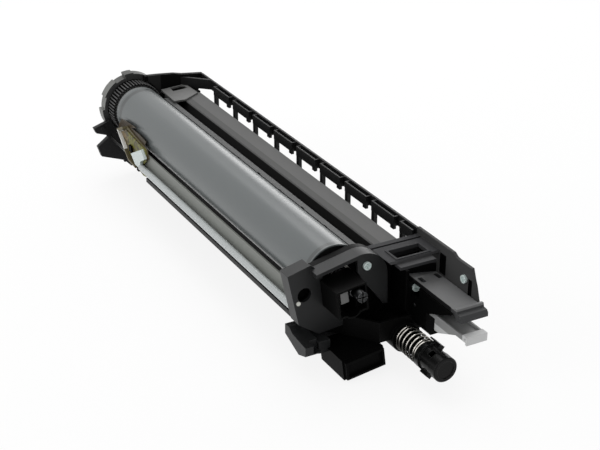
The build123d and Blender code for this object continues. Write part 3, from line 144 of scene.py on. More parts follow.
class Signal:
    """A socket of a shader graph that takes part in arithmetic."""

    def __init__(self, graph: "Graph", socket: bpy.types.NodeSocket | None) -> None:
        """Keeps the graph and the socket.

        Args:
            graph: The graph that the socket belongs to.
            socket: The output socket of a node, or None behind a graph's last node.
        """
        self.graph = graph
        self.socket = socket

    def _is_number(self, side: Operand) -> bool:
        """Tells whether one side of an expression is a plain value.

        Args:
            side: The operand.

        Returns:
            True for a value, False for a vector or a colour.
        """
        if isinstance(side, Signal):
            return side.socket.type == "VALUE"
        return isinstance(side, (int, float))

    def _join(self, operation: Arithmetic, left: Operand, right: Operand) -> "Signal":
        """Adds the node for one operation.

        Args:
            operation: What is worked out.
            left: First operand.
            right: Second operand.

        Returns:
            The result, a value if both operands are values and else a vector.
        """
        plain = self._is_number(left) and self._is_number(right)
        kind = "ShaderNodeMath" if plain else "ShaderNodeVectorMath"
        return self.graph.node(kind, {"operation": operation.value}, {0: left, 1: right})

    def __add__(self, other: Operand) -> "Signal":
        """Adds."""
        return self._join(Arithmetic.ADD, self, other)

    def __radd__(self, other: Operand) -> "Signal":
        """Adds, from the right."""
        return self._join(Arithmetic.ADD, other, self)

    def __sub__(self, other: Operand) -> "Signal":
        """Subtracts."""
        return self._join(Arithmetic.SUBTRACT, self, other)

    def __rsub__(self, other: Operand) -> "Signal":
        """Subtracts, from the right."""
        return self._join(Arithmetic.SUBTRACT, other, self)

    def __mul__(self, other: Operand) -> "Signal":
        """Multiplies."""
        return self._join(Arithmetic.MULTIPLY, self, other)

    def __rmul__(self, other: Operand) -> "Signal":
        """Multiplies, from the right."""
        return self._join(Arithmetic.MULTIPLY, other, self)

    def larger(self, other: Operand) -> "Signal":
        """Gives the larger of two values."""
        return self._join(Arithmetic.MAXIMUM, self, other)

    def part(self, axis: Axis) -> "Signal":
        """Gives one coordinate of a vector as a value."""
        return self.graph.node("ShaderNodeSeparateXYZ", {}, {0: self}, axis.value)

    def length(self) -> "Signal":
        """Gives the length of a vector."""
        return self.graph.node("ShaderNodeVectorMath", {"operation": "LENGTH"}, {0: self}, "Value")

    def ramp(self, low: float, high: float) -> "Signal":
        """Rises smoothly from 0 to 1 between two values.

        Args:
            low: Where the rise starts.
            high: Where it ends.

        Returns:
            A value from 0 to 1.
        """
        settings = {"interpolation_type": "SMOOTHSTEP", "clamp": True}
        return self.graph.node("ShaderNodeMapRange", settings, {0: self, 1: low, 2: high})

    def band(self, limits: Span, soft: float) -> "Signal":
        """Gives 1 inside a span and 0 outside, with soft edges.

        Args:
            limits: Where the band starts and ends.
            soft: How far each edge fades to either side.

        Returns:
            A value from 0 to 1.
        """
        low, high = limits
        rise = self.ramp(low - soft, low + soft)
        fall = self.ramp(high - soft, high + soft)
        return rise * (1 - fall)


class Graph:
    """The node graph of a material or of the world."""

    def __init__(self, owner: bpy.types.Material | bpy.types.World) -> None:
        """Empties the owner's nodes.

        Args:
            owner: The material or the world.
        """
        self.owner = owner
        self.owner.use_nodes = True
        self.tree = self.owner.node_tree
        self.tree.nodes.clear()

    def node(
        self,
        kind: str,
        settings: dict[str, Any] | None = None,
        inputs: dict[str | int, Any] | None = None,
        output: str | int = 0,
    ) -> Signal:
        """Adds a node.

        Args:
            kind: The node's type.
            settings: Its own settings, which are set first.
            inputs: Values or signals for its sockets, by name or number.
            output: Name or number of the socket that is handed back.

        Returns:
            The chosen output, or an empty signal if the node has no outputs.
        """
        made = self.tree.nodes.new(kind)
        for key, value in (settings or {}).items():
            setattr(made, key, value)
        for key, value in (inputs or {}).items():
            self.feed(made.inputs[key], value)
        return Signal(self, made.outputs[output] if made.outputs else None)

    def feed(self, socket: bpy.types.NodeSocket, value: Any) -> None:
        """Links a signal to a socket, or writes a value there.

        Args:
            socket: The input.
            value: A signal, a number or a colour.
        """
        if isinstance(value, Signal):
            self.tree.links.new(value.socket, socket)
        elif socket.type == "VALUE":
            socket.default_value = value
        else:
            several = tuple(value) if hasattr(value, "__len__") else (value,) * 3
            socket.default_value = several + (1.0,) if socket.type == "RGBA" else several

    def finish(self, shader: Signal) -> None:
        """Links a shader to the owner's surface.

        Args:
            shader: The shader.
        """
        is_world = isinstance(self.owner, bpy.types.World)
        kind = "ShaderNodeOutputWorld" if is_world else "ShaderNodeOutputMaterial"
        self.node(kind, {}, {"Surface": shader})

    def place(self) -> Signal:
        """Gives the point on the piece, in its own frame, in metres."""
        return self.node("ShaderNodeTexCoord", output="Object")

    def flat_normal(self) -> Signal:
        """Gives the normal of the surface as it is modelled."""
        return self.node("ShaderNodeNewGeometry", output="Normal")

    def rounded(self, radius: float) -> Signal:
        """Gives the normal of a surface with its edges rounded to a radius in metres."""
        return self.node("ShaderNodeBevel", {"samples": BEVEL_SAMPLES}, {"Radius": radius})

    def noise(self, place: Signal, size: float, detail: float) -> Signal:
        """Adds cloudy noise.

        Args:
            place: Where the noise is read.
            size: Metres across one patch.
            detail: How many finer layers it has.

        Returns:
            A value round one half.
        """
        inputs = {"Vector": place, "Scale": 1 / size, "Detail": detail}
        return self.node("ShaderNodeTexNoise", {}, inputs)

    def mix(self, share: Operand, first: Operand, second: Operand) -> Signal:
        """Mixes two colours.

        Args:
            share: 0 for the first colour, 1 for the second.
            first: A colour.
            second: A colour.

        Returns:
            The mixed colour.
        """
        inputs = {"Factor": share, MIX_FIRST: first, MIX_SECOND: second}
        return self.node("ShaderNodeMix", {"data_type": "RGBA"}, inputs, MIX_RESULT)

    def edge(self, normal: Signal) -> Signal:
        """Marks where a rounded normal leaves the flat surface.

        Args:
            normal: The rounded normal.

        Returns:
            A value that is 1 on edges.
        """
        settings = {"operation": "DOT_PRODUCT"}
        inputs = {0: normal, 1: self.flat_normal()}
        facing = self.node("ShaderNodeVectorMath", settings, inputs, "Value")
        return (1 - facing).ramp(*EDGE_TURN)

    def seen(self) -> Signal:
        """Tells rays that show the background from rays that light things.

        Returns:
            A value that is 1 for camera, glossy and transmission rays.
        """
        first, *others = [self.node("ShaderNodeLightPath", output=ray.value) for ray in Ray]
        for other in others:
            first = first.larger(other)
        return first


@dataclass(frozen=True)
class Zone:
    """A part of a piece, between planes of the frame, with a tone used for colours of its own and for
    painted light and shade.
    """

    colour: Colour
    x: Span = ANYWHERE
    y: Span = ANYWHERE
    z: Span = ANYWHERE
    soft: float = 0.1 * MM

    def share(self, place: Signal) -> Operand:
        """Marks the zone.

        Args:
            place: The point on the piece.

        Returns:
            A value that is 1 inside the zone.
        """
        mark: Operand = 1.0
        for axis, limits in ((Axis.X, self.x), (Axis.Y, self.y), (Axis.Z, self.z)):
            if limits != ANYWHERE:
                mark = place.part(axis).band(limits, self.soft) * mark
        return mark


@dataclass(frozen=True)
class Finish:
    """A surface finish: colour, gloss, grain, and edges paled as wear and as a painted highlight.

    Attributes:
        name: The material's name.
        colour: Its colour, outside any zone.
        roughness: How matt it is, and gloss_drift how much that varies in smudges.
        metallic: 1 for bare metal.
        specular: Strength of the plain reflection.
        transmission: Share of the light that passes through.
        drift: Share by which the colour varies, in clouds drift_size across.
        smudges_across: How many smudges cross one cloud.
        grain: Metres across one grain, with grain_depth its height in metres.
        grain_gloss: How much the roughness varies with the grain.
        stretch: How the grain and the smudges are squeezed along each axis.
        edge_radius: Radius that edges seem to have.
        edge_light: Strength of the wear and painted highlight on them, paler by the next two fields.
        zones: Parts with tones of their own and parts with painted light and shade, the later over
            the earlier.
    """

    name: str
    colour: Colour
    roughness: float = 0.45
    metallic: float = 0.0
    specular: float = 0.35
    transmission: float = 0.0
    drift: float = 0.12
    drift_size: float = 30.0 * MM
    drift_detail: float = 3.0
    smudges_across: float = 5.0
    smudge_detail: float = 4.0
    gloss_drift: float = 0.08
    grain: float = 0.35 * MM
    grain_detail: float = 2.0
    grain_depth: float = 0.006 * MM
    grain_gloss: float = 0.05
    stretch: Triple = (1.0, 1.0, 1.0)
    edge_radius: float = 0.3 * MM
    edge_light: float = 0.25
    wear_and_highlight_base: float = 0.08
    wear_and_highlight_gain: float = 1.6
    zones: tuple[Zone, ...] = ()

    def paint(self, graph: Graph, place: Signal) -> Operand:
        """Gives the colour before drift and the edges' wear and painted highlight.

        Args:
            graph: The material's graph.
            place: The point on the piece.

        Returns:
            A colour.
        """
        colour: Operand = self.colour
        for zone in self.zones:
            colour = graph.mix(zone.share(place), colour, zone.colour)
        return colour

    def wear_and_highlight_colour(self) -> Colour:
        """Gives the lighter colour of the edges, for wear and a painted highlight."""
        return tuple(min(1.0, self.wear_and_highlight_base + self.wear_and_highlight_gain * part) for part in self.colour)

    def build(self) -> bpy.types.Material:
        """Makes the material.

        Returns:
            The finished material.
        """
        graph = Graph(bpy.data.materials.new(self.name))
        place = graph.place()
        stretched = place * self.stretch
        cloud = graph.noise(place, self.drift_size, self.drift_detail)
        grain = graph.noise(stretched, self.grain, self.grain_detail)
        smudge = graph.noise(stretched, self.drift_size / self.smudges_across, self.smudge_detail)
        normal = graph.rounded(self.edge_radius)
        drifted = self.paint(graph, place) * (1 - self.drift + 2 * self.drift * cloud)
        # Edges are paled partly as wear and partly as a painted highlight.
        wear_and_highlight = graph.edge(normal) * (NOISE_MIDDLE + smudge) * self.edge_light
        colour = graph.mix(wear_and_highlight, drifted, self.wear_and_highlight_colour())
        gloss = self.gloss_drift * (smudge - NOISE_MIDDLE) + self.grain_gloss * (grain - NOISE_MIDDLE)
        relief = {"Strength": 1.0, "Distance": self.grain_depth, "Height": grain, "Normal": normal}
        bump = graph.node("ShaderNodeBump", {}, relief)
        shader = graph.node("ShaderNodeBsdfPrincipled", {}, {
            "Base Color": colour,
            "Roughness": self.roughness + gloss,
            "Metallic": self.metallic,
            "Specular IOR Level": self.specular,
            "Transmission Weight": self.transmission,
            "Normal": bump,
        })
        graph.finish(shader)
        return graph.owner


@dataclass(frozen=True)
class Laminate(Finish):
    """Lamp board: tan at its far end, olive near the lens, with dark lands between."""

    olive: Colour = (0.12, 0.12, 0.02)
    land: Colour = (0.055, 0.045, 0.018)
    land_size: float = 2.2 * MM
    land_edge: Span = (0.53, 0.56)
    turn: float = 0.0
    turn_soft: float = 2.0 * MM

    def paint(self, graph: Graph, place: Signal) -> Operand:
        """Gives the board's colour with its lands.

        Args:
            graph: The material's graph.
            place: The point on the board.

        Returns:
            A colour.
        """
        near = place.part(Axis.Y).band(up_to(self.turn), self.turn_soft)
        ground = graph.mix(near, self.colour, self.olive)
        lands = graph.noise(place, self.land_size, 0.0).ramp(*self.land_edge)
        return graph.mix(lands, ground, self.land)


@dataclass(frozen=True)
class WireFinish(Finish):
    """Drawn wire, with a painted highlight where it looks up and painted shade where it looks down.
    """

    shade: Colour = (0.05, 0.048, 0.044)
    upward: Span = (0.1, 0.8)

    def paint(self, graph: Graph, place: Signal) -> Operand:
        """Gives the wire's colour, with painted highlight and shade by the way its surface looks."""
        painted_highlight_share = graph.flat_normal().part(Axis.Z).ramp(*self.upward)
        return graph.mix(painted_highlight_share, self.shade, self.colour)


@dataclass(frozen=True)
class ToothedFinish(Finish):
    """Gear plastic, with a painted highlight on the tips of its teeth."""

    # Painted highlight on the tooth tips.
    tip_colour: Colour = (0.08, 0.08, 0.08)
    tip_radius: float = 0.0
    tip_soft: float = 0.2 * MM

    def paint(self, graph: Graph, place: Signal) -> Operand:
        """Gives the gear's colour with the painted highlight on its tooth tips.

        Args:
            graph: The material's graph.
            place: The point on the gear.

        Returns:
            A colour.
        """
        radius = (place * (1.0, 0.0, 1.0)).length()
        tip = radius.band(beyond(self.tip_radius), self.tip_soft)
        return graph.mix(tip, self.colour, self.tip_colour)


class Finishes:
    """Every finish of the unit. Those with zones get them from the piece that wears them."""

    black = Finish("black_plastic", (0.007, 0.0072, 0.0074), specular=0.2)
    # Black plastic darker than plain black, as painted shade on pieces that sit in deep shadow.
    shaded_black = Finish("dark_plastic", (0.0015, 0.0015, 0.0015), 0.5, specular=0.03, edge_light=0.03)
    # Front frame's black, darker than plain black as painted shade.
    front = Finish("front_plastic", (0.002, 0.002, 0.002), specular=0.05, edge_light=0.1)
    cover = Finish("cover_plastic", (0.012, 0.0125, 0.013), 0.42, specular=0.24)
    # Trough's black, darker than plain black as painted shade in the trough.
    trough = Finish("trough_plastic", (0.003, 0.003, 0.003), 0.5, specular=0.06, edge_light=0.1)
    handle = Finish("handle_plastic", (0.145, 0.146, 0.147), specular=0.14, edge_light=0.1)
    gear = ToothedFinish("gear_plastic", (0.006, 0.006, 0.006), 0.4, specular=0.2)
    grey = Finish("grey_plastic", (0.12, 0.12, 0.118), edge_light=0.3)
    cap = Finish("cap_plastic", (0.055, 0.056, 0.053), edge_light=0.3)
    white = Finish("white_plastic", (0.70, 0.70, 0.65), 0.4, edge_light=0.1)
    coating = Finish("drum_coating", (0.10, 0.11, 0.111), 0.3, specular=0.5, drift=0.03,
                     drift_size=80.0 * MM, gloss_drift=0.03, grain=0.8 * MM,
                     grain_depth=0.0012 * MM, stretch=(1.0, 6.0, 1.0), edge_light=0.2)
    steel = Finish("shaft_steel", (0.42, 0.42, 0.43), 0.3, metallic=1.0, stretch=(1.0, 8.0, 1.0))
    # The sheet's pale cut edges are partly a painted highlight.
    sheet = Finish("steel_sheet", (0.13, 0.13, 0.129), specular=0.03, drift=0.05,
                   stretch=(1.0, 0.1, 1.0), grain_depth=0.003 * MM, edge_light=0.6)
    stay = Finish("stay_sheet", (0.165, 0.172, 0.158), 0.4, drift=0.05,
                  stretch=(1.0, 0.1, 1.0), grain_depth=0.003 * MM)
    rubber = Finish("blade_rubber", (0.25, 0.2, 0.14), 0.6)
    felt = Finish("felt", (0.12, 0.12, 0.12), 0.9, grain=0.6 * MM, grain_depth=0.08 * MM)
    film = Finish("seal_film", (0.06, 0.061, 0.061), 0.4, specular=0.25, grain_depth=0.002 * MM)
    clear = Finish("clear_plastic", (0.50, 0.53, 0.53), 0.14, specular=0.5, transmission=0.25,
                   edge_light=0.1, drift=0.05)
    lens = Finish("lens_plastic", (0.60, 0.68, 0.66), 0.14, specular=0.5, transmission=0.2,
                  edge_light=0.1, drift=0.05)
    tray = Finish("lamp_tray", (0.10, 0.085, 0.045), 0.4, specular=0.2, edge_light=0.1)
    board = Laminate("lamp_board", (0.16, 0.115, 0.06), 0.35, specular=0.15, edge_light=0.5)
    strip = Finish("contact_strip", (0.035, 0.024, 0.012), 0.35, specular=0.12, edge_light=1.0)
    brass = Finish("contact_brass", (0.42, 0.33, 0.19), 0.35, metallic=0.9,
                   stretch=(1.0, 0.1, 1.0))
    # Spring wire with a painted highlight on its upper side and painted shade below.
    spring = WireFinish("spring_wire", (0.72, 0.69, 0.64), 0.22, metallic=1.0, edge_light=0.0,
                        grain_depth=0.002 * MM)
    lever = Finish("lever_plastic", (0.27, 0.274, 0.274), 0.3, specular=0.5, transmission=0.1)
    pad = Finish("pad_plastic", (0.14, 0.14, 0.138), edge_light=0.3)
    screw = Finish("screw_steel", (0.62, 0.72, 0.70), 0.3, metallic=0.35, edge_light=0.5)
    # Its pale rims are a painted highlight.
    nozzle = Finish("nozzle_plastic", (0.003, 0.003, 0.003), 0.25, specular=0.12, edge_light=0.7)

    def __init__(self) -> None:
        """Starts with no material made."""
        self.made: dict[Finish, bpy.types.Material] = {}

    def material(self, finish: Finish) -> bpy.types.Material:
        """Gives a finish's material, made when it is first asked for.

        Args:
            finish: The finish.

        Returns:
            Its material.
        """
        if finish not in self.made:
            self.made[finish] = finish.build()
        return self.made[finish]


@dataclass
class Assembly:
    """What every sub-assembly shares: the frame's nodes and the finishes."""

    nodes: dict[str, bpy.types.Object]
    finishes: Finishes
    # Painted shade on the steel inside the front end.
    shaded_length: float = 22.5 * MM
    shaded_steel: Colour = (0.035, 0.037, 0.038)

    def dress(self, finish: Finish, *names: str) -> None:
        """Puts a finish on nodes of the frame.

        Args:
            finish: The finish.
            names: The nodes.
        """
        for name in names:
            slots = self.nodes[name].data.materials
            slots.clear()
            slots.append(self.finishes.material(finish))
            LOG.info("dressed %s in %s", name, finish.name)

    def steel(self) -> Finish:
        """Gives the steel of shafts and pins, with painted shade inside the front end.

        Returns:
            The finish.
        """
        low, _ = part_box("drum_shaft")
        front_end_shade = Zone(self.shaded_steel, y=up_to(low.y + self.shaded_length))
        return replace(self.finishes.steel, zones=(front_end_shade,))

    def add(self, name: str, form: bmesh.types.BMesh, finish: Finish, body: str,
            slot: str) -> bpy.types.Object:
        """Turns a mesh into a piece of the unit.

        Args:
            name: The piece's name.
            form: Its mesh, which is used up.
            finish: Its finish.
            body: The body that it rides on.
            slot: The record's material slot, which is not used.

        Returns:
            The piece.
        """
        bmesh.ops.recalc_face_normals(form, faces=form.faces[:])
        mesh = bpy.data.meshes.new(name)
        form.to_mesh(mesh)
        form.free()
        mesh.materials.append(self.finishes.material(finish))
        piece = bpy.data.objects.new(name, mesh)
        bpy.context.scene.collection.objects.link(piece)
        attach(piece, body)
        LOG.info("added %s", name)
        return piece


@dataclass
class DrumGroup(Assembly):
    """The drum, its plugs, its gear and its shaft."""

    front_band: Span = span(1.0, 3.5)
    rear_band: Span = span(4.5, 8.0)
    rim: float = 2.5 * MM
    front_band_colour: Colour = (0.065, 0.07, 0.07)
    rear_band_colour: Colour = (0.06, 0.065, 0.065)
    rim_colour: Colour = (0.16, 0.17, 0.17)
    tip_height: float = 0.3 * MM

    def dress_all(self) -> None:
        """Dresses the drum's nodes."""
        self.dress(self.coating(), "drum_tube")
        self.dress(self.finishes.black, "drum_front_flange")
        self.dress(self.gear(), "drum_gear")
        self.dress(self.steel(), "drum_shaft", "shaft_clip")
        self.dress(self.finishes.brass, "drum_earth_plate")

    def coating(self) -> Finish:
        """Gives the coating, with a darker band at each end and a bare rim.

        Returns:
            The finish of the tube.
        """
        low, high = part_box("drum_tube")
        front = (low.y + self.front_band[0], low.y + self.front_band[1])
        rear = (high.y - self.rear_band[1], high.y - self.rear_band[0])
        zones = (Zone(self.front_band_colour, y=front), Zone(self.rear_band_colour, y=rear),
                 Zone(self.rim_colour, y=beyond(high.y - self.rim)))
        return replace(self.finishes.coating, zones=zones)

    def gear(self) -> Finish:
        """Gives the gear's plastic, with the radius at which the painted highlight on its tooth tips
        starts.
        """
        low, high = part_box("drum_gear")
        return replace(self.finishes.gear, tip_radius=(high.x - low.x) / 2 - self.tip_height)


@dataclass
class LongFrame(Assembly):
    """The long moulding with its blade, seals, stay and rail."""

    bar: Span = span(10.0, 18.4)
    bar_level: float = 3.0 * MM
    bar_colour: Colour = (0.02, 0.02, 0.02)
    # Painted shade on the blade holder: darker on its slope, black below its face.
    slope: Span = span(9.2, 18.2)
    slope_shade_colour: Colour = (0.095, 0.095, 0.094)
    holder_face: float = 0.6 * MM
    holder_shade: Colour = (0.001, 0.001, 0.001)
    # Painted shadow at the stay's far end.
    stay_end: float = 21.0 * MM
    stay_end_shadow_colour: Colour = (0.008, 0.008, 0.008)

    def dress_all(self) -> None:
        """Dresses the long frame's nodes."""
        kit = self.finishes
        self.dress(kit.black, "guide_comb", "side_rail", "waste_auger", "auger_gear")
        self.dress(self.trough(), "drum_frame")
        self.dress(self.sheet(), "blade_holder")
        self.dress(kit.rubber, "cleaning_blade")
        self.dress(kit.felt, "blade_end_seals")
        self.dress(kit.film, "upper_seal", "lower_seal")
        self.dress(self.stay(), "side_stay")

    def trough(self) -> Finish:
        """Gives the trough's plastic, darker than plain black as painted shade, and paler on the seal
        bar.
        """
        bar = Zone(self.bar_colour, x=self.bar, z=beyond(self.bar_level))
        return replace(self.finishes.trough, zones=(bar,))

    def sheet(self) -> Finish:
        """Gives the blade holder's steel, with painted shade darker on its slope and black below its
        face.

        Returns:
            The finish of the holder.
        """
        _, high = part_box("blade_holder")
        slope = (high.x - self.slope[1], high.x - self.slope[0])
        zones = (Zone(self.slope_shade_colour, x=slope),
                 Zone(self.holder_shade, z=up_to(high.z - self.holder_face)))
        return replace(self.finishes.sheet, zones=zones)

    def stay(self) -> Finish:
        """Gives the stay's sheet, black at its far end as a painted shadow.

        Returns:
            The finish of the stay.
        """
        _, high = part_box("side_stay")
        end = Zone(self.stay_end_shadow_colour, y=beyond(high.y - self.stay_end))
        return replace(self.finishes.stay, zones=(end,))


@dataclass
class RearEnd(Assembly):
    """Fork, gear cap, gear cover and window plate at the far end."""

    # Painted light on the cap's left side and painted shade on its front face.
    cap_left: float = 10.5 * MM
    cap_left_soft: float = 4.0 * MM
    cap_left_lit_colour: Colour = (0.14, 0.142, 0.134)
    cap_face: float = 0.05 * MM
    cap_face_shade_colour: Colour = (0.028, 0.028, 0.028)

    def dress_all(self) -> None:
        """Dresses the rear end's nodes."""
        kit = self.finishes
        self.dress(kit.black, "rear_fork", "rear_cover", "idler_gear")
        self.dress(self.cap(), "rear_cap")
        self.dress(kit.grey, "rear_window_plate")
        self.dress(kit.white, "rear_bush", "auger_bush")
        self.dress(self.steel(), "idler_pin")

    def cap(self) -> Finish:
        """Gives the cap's plastic, with painted light on its left and painted shade on its front
        face.

        Returns:
            The finish of the cap.
        """
        low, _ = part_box("rear_cap")
        left = Zone(self.cap_left_lit_colour, x=up_to(low.x + self.cap_left), soft=self.cap_left_soft)
        face = Zone(self.cap_face_shade_colour, y=up_to(low.y + self.cap_face), soft=self.cap_face)
        return replace(self.finishes.cap, zones=(left, face))


@dataclass
class EraseLamp(Assembly):
    """The clear rod along the left side and the lamp that lights it."""

    reflector_length: float = 16.5 * MM
    reflector_foot: float = 6.6 * MM
    reflector_drop: float = 5.0 * MM
    reflector_colour: Colour = (0.75, 0.75, 0.72)
    tan_length: float = 10.8 * MM

    def dress_all(self) -> None:
        """Dresses the lamp's nodes."""
        kit = self.finishes
        self.dress(kit.clear, "light_guide")
        self.dress(kit.lens, "lamp_lens")
        self.dress(self.tray(), "lamp_holder")
        self.dress(self.board(), "lamp_board")
        self.dress(kit.shaded_black, "lamp_diode")
        self.dress(kit.strip, "lamp_contact")

    def tray(self) -> Finish:
        """Gives the tray's finish, white where it backs the lamp.

        Returns:
            The finish of the tray.
        """
        low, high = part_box("lamp_holder")
        height = (low.z + self.reflector_foot, high.z - self.reflector_drop)
        reflector = Zone(self.reflector_colour, y=beyond(high.y - self.reflector_length), z=height)
        return replace(self.finishes.tray, zones=(reflector,))

    def board(self) -> Finish:
        """Gives the board's laminate, tan at its far end."""
        _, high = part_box("lamp_board")
        return replace(self.finishes.board, turn=high.y - self.tan_length)


@dataclass
class FrontEnd(Assembly):
    """Front cover, front frame, connector box and what stands on them."""

    # Painted light on the deck top, the lip and the side wall, and painted shade in two slots of the
    # side wall.
    deck_left: float = 17.0 * MM
    deck_level: float = 3.2 * MM
    lit_deck_colour: Colour = (0.032, 0.032, 0.034)
    lip: Span = span(-5.0, 3.1)
    lip_level: float = 8.8 * MM
    lit_lip_colour: Colour = (0.065, 0.065, 0.067)
    wall_left: float = 46.5 * MM
    lit_wall_colour: Colour = (0.045, 0.045, 0.045)
    slot_depth: Span = span(46.9, 47.9)
    rear_slot: tuple[Span, Span] = (span(-3.2, 2.4), span(-1.1, 10.1))
    front_slot: tuple[Span, Span] = (span(-25.1, -21.8), span(-2.6, 6.9))
    slot_shade_colour: Colour = (0.001, 0.001, 0.001)

    def dress_all(self) -> None:
        """Dresses the front end's nodes."""
        kit = self.finishes
        self.dress(kit.cover, "front_cover", "rail_bracket")
        self.dress(self.moulding(), "front_frame")
        self.dress(kit.shaded_black, "connector_box", "lever_bracket")
        self.dress(kit.white, "front_bush", "sight_peg")
        self.dress(kit.pad, "contact_pad")
        self.dress(kit.screw, "frame_screws")

    def moulding(self) -> Finish:
        """Gives the front frame's plastic, with painted light on its deck, lip and side wall and
        painted shade in two slots.

        Returns:
            The finish of the front frame.
        """
        # Zones of painted light on the deck, lip and side wall, and painted shade in the slots.
        zones = [
            Zone(self.lit_deck_colour, x=beyond(self.deck_left), z=beyond(self.deck_level)),
            Zone(self.lit_lip_colour, x=(self.deck_left, self.wall_left), y=self.lip,
                 z=beyond(self.lip_level)),
            Zone(self.lit_wall_colour, x=beyond(self.wall_left)),
        ]
        for along, height in (self.rear_slot, self.front_slot):
            zones.append(Zone(self.slot_shade_colour, x=self.slot_depth, y=along, z=height))
        return replace(self.finishes.front, zones=tuple(zones))


@dataclass
class HandleGroup(Assembly):
    """Pull handle and release lever."""

    # Painted shadow at the handle's root under the deck, and painted shade on its sides, underside
    # and left flank.
    root_start: float = 41.5 * MM
    root_shadow_colour: Colour = (0.10, 0.101, 0.102)
    handle_skin: float = 1.0 * MM
    underside_shade_colour: Colour = (0.04, 0.041, 0.042)
    flank: float = 0.2 * MM
    flank_start: float = 8.5 * MM
    flank_shade_colour: Colour = (0.004, 0.004, 0.004)
    tip_length: float = 3.8 * MM
    tip_colour: Colour = (0.62, 0.625, 0.625)
    fin_length: float = 29.3 * MM
    fin_height: float = 3.8 * MM
    fin_colour: Colour = (0.66, 0.67, 0.67)

    def dress_all(self) -> None:
        """Dresses the handle's nodes."""
        self.dress(self.plate(), "handle_plate")
        self.dress(self.lever(), "release_lever")
        self.dress(self.steel(), "lever_pin")

    def plate(self) -> Finish:
        """Gives the handle's plastic, with a painted shadow at its root and painted shade below and
        along its left flank.

        Returns:
            The finish of the handle plate.
        """
        low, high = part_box("handle_plate")
        zones = (
            Zone(self.root_shadow_colour, y=beyond(low.y + self.root_start)),
            Zone(self.underside_shade_colour, z=up_to(high.z - self.handle_skin)),
            Zone(self.flank_shade_colour, x=up_to(low.x + self.flank),
                 y=beyond(low.y + self.flank_start)),
        )
        return replace(self.finishes.handle, zones=zones)

    def lever(self) -> Finish:
        """Gives the lever's plastic, pale at its tip and on the fin below it.

        Returns:
            The finish of the lever.
        """
        low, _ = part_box("release_lever")
        zones = (
            Zone(self.tip_colour, y=up_to(low.y + self.tip_length)),
            Zone(self.fin_colour, y=up_to(low.y + self.fin_length),
                 z=up_to(low.z + self.fin_height)),
        )
        return replace(self.finishes.lever, zones=zones)


@dataclass
class WasteOutlet(Assembly):
    """Waste pipe, its sprung sleeve and the spring."""

    wire: float = 1.05 * MM
    turns: float = 6.5
    closed_turns: float = 0.9
    closed_pitch: float = 0.35
    steps_per_turn: int = 40
    sides: int = 12
    travel: float = 8.0 * MM

    def dress_all(self) -> None:
        """Dresses the outlet's nodes."""
        self.dress(self.finishes.shaded_black, "waste_pipe")
        self.dress(self.finishes.nozzle, "shutter_sleeve")

    def rise(self, turn: float) -> float:
        """Gives how far along the spring a turn lies.

        Args:
            turn: Turns from the fixed end.

        Returns:
            Share of the length, with nearly closed turns at both ends.
        """
        open_turns = self.turns - 2 * self.closed_turns
        pitch = 1 / (open_turns + 2 * self.closed_turns * self.closed_pitch)
        if turn < self.closed_turns:
            return turn * self.closed_pitch * pitch
        if turn > self.turns - self.closed_turns:
            return 1 - (self.turns - turn) * self.closed_pitch * pitch
        return (self.closed_turns * self.closed_pitch + turn - self.closed_turns) * pitch

    def ring(self, form: bmesh.types.BMesh, middle: Vector,
             outward: Vector) -> list[bmesh.types.BMVert]:
        """Adds the points round the wire at one place.

        Args:
            form: The spring's mesh.
            middle: The middle of the wire.
            outward: Away from the spring's axis.

        Returns:
            The points in order.
        """
        along = Vector((0, 1, 0))
        points = []
        for side in range(self.sides):
            around = 2 * math.pi * side / self.sides
            offset = outward * math.cos(around) + along * math.sin(around)
            points.append(form.verts.new(middle + offset * self.wire / 2))
        return points

    def wind(self, start: Vector, radius: float, length: float) -> bmesh.types.BMesh:
        """Winds the wire towards the front.

        Args:
            start: The axis point of the fixed end.
            radius: From the axis to the middle of the wire.
            length: Between the middles of the first and the last turn.

        Returns:
            The spring's mesh.
        """
        form = bmesh.new()
        count = int(self.turns * self.steps_per_turn)
        rings = []
        for step in range(count + 1):
            turn = self.turns * step / count
            angle = 2 * math.pi * turn
            outward = Vector((math.cos(angle), 0, math.sin(angle)))
            forward = Vector((0, -length * self.rise(turn), 0))
            rings.append(self.ring(form, start + outward * radius + forward, outward))
        for first, second in zip(rings, rings[1:]):
            for side in range(self.sides):
                after = (side + 1) % self.sides
                face = form.faces.new((first[side], first[after], second[after], second[side]))
                face.smooth = True
        form.faces.new(rings[0])
        form.faces.new(list(reversed(rings[-1])))
        return form

    def build_spring(self) -> bpy.types.Object:
        """Builds the spring in the space of its plain node.

        Returns:
            The spring.
        """
        low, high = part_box("outlet_spring")
        middle = (low + high) / 2
        start = Vector((middle.x, high.y - self.wire / 2, middle.z))
        radius = (high.x - low.x - self.wire) / 2
        form = self.wind(start, radius, high.y - low.y - self.wire)
        piece = self.add("spring_coil", form, self.finishes.spring, "frame", "spring_steel")
        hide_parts("outlet_spring")
        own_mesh(piece)
        return piece


@dataclass(frozen=True)
class Panel:
    """A soft square lamp, with its side in metres and its power in watts."""

    name: str
    place: Place
    size: float
    power: float


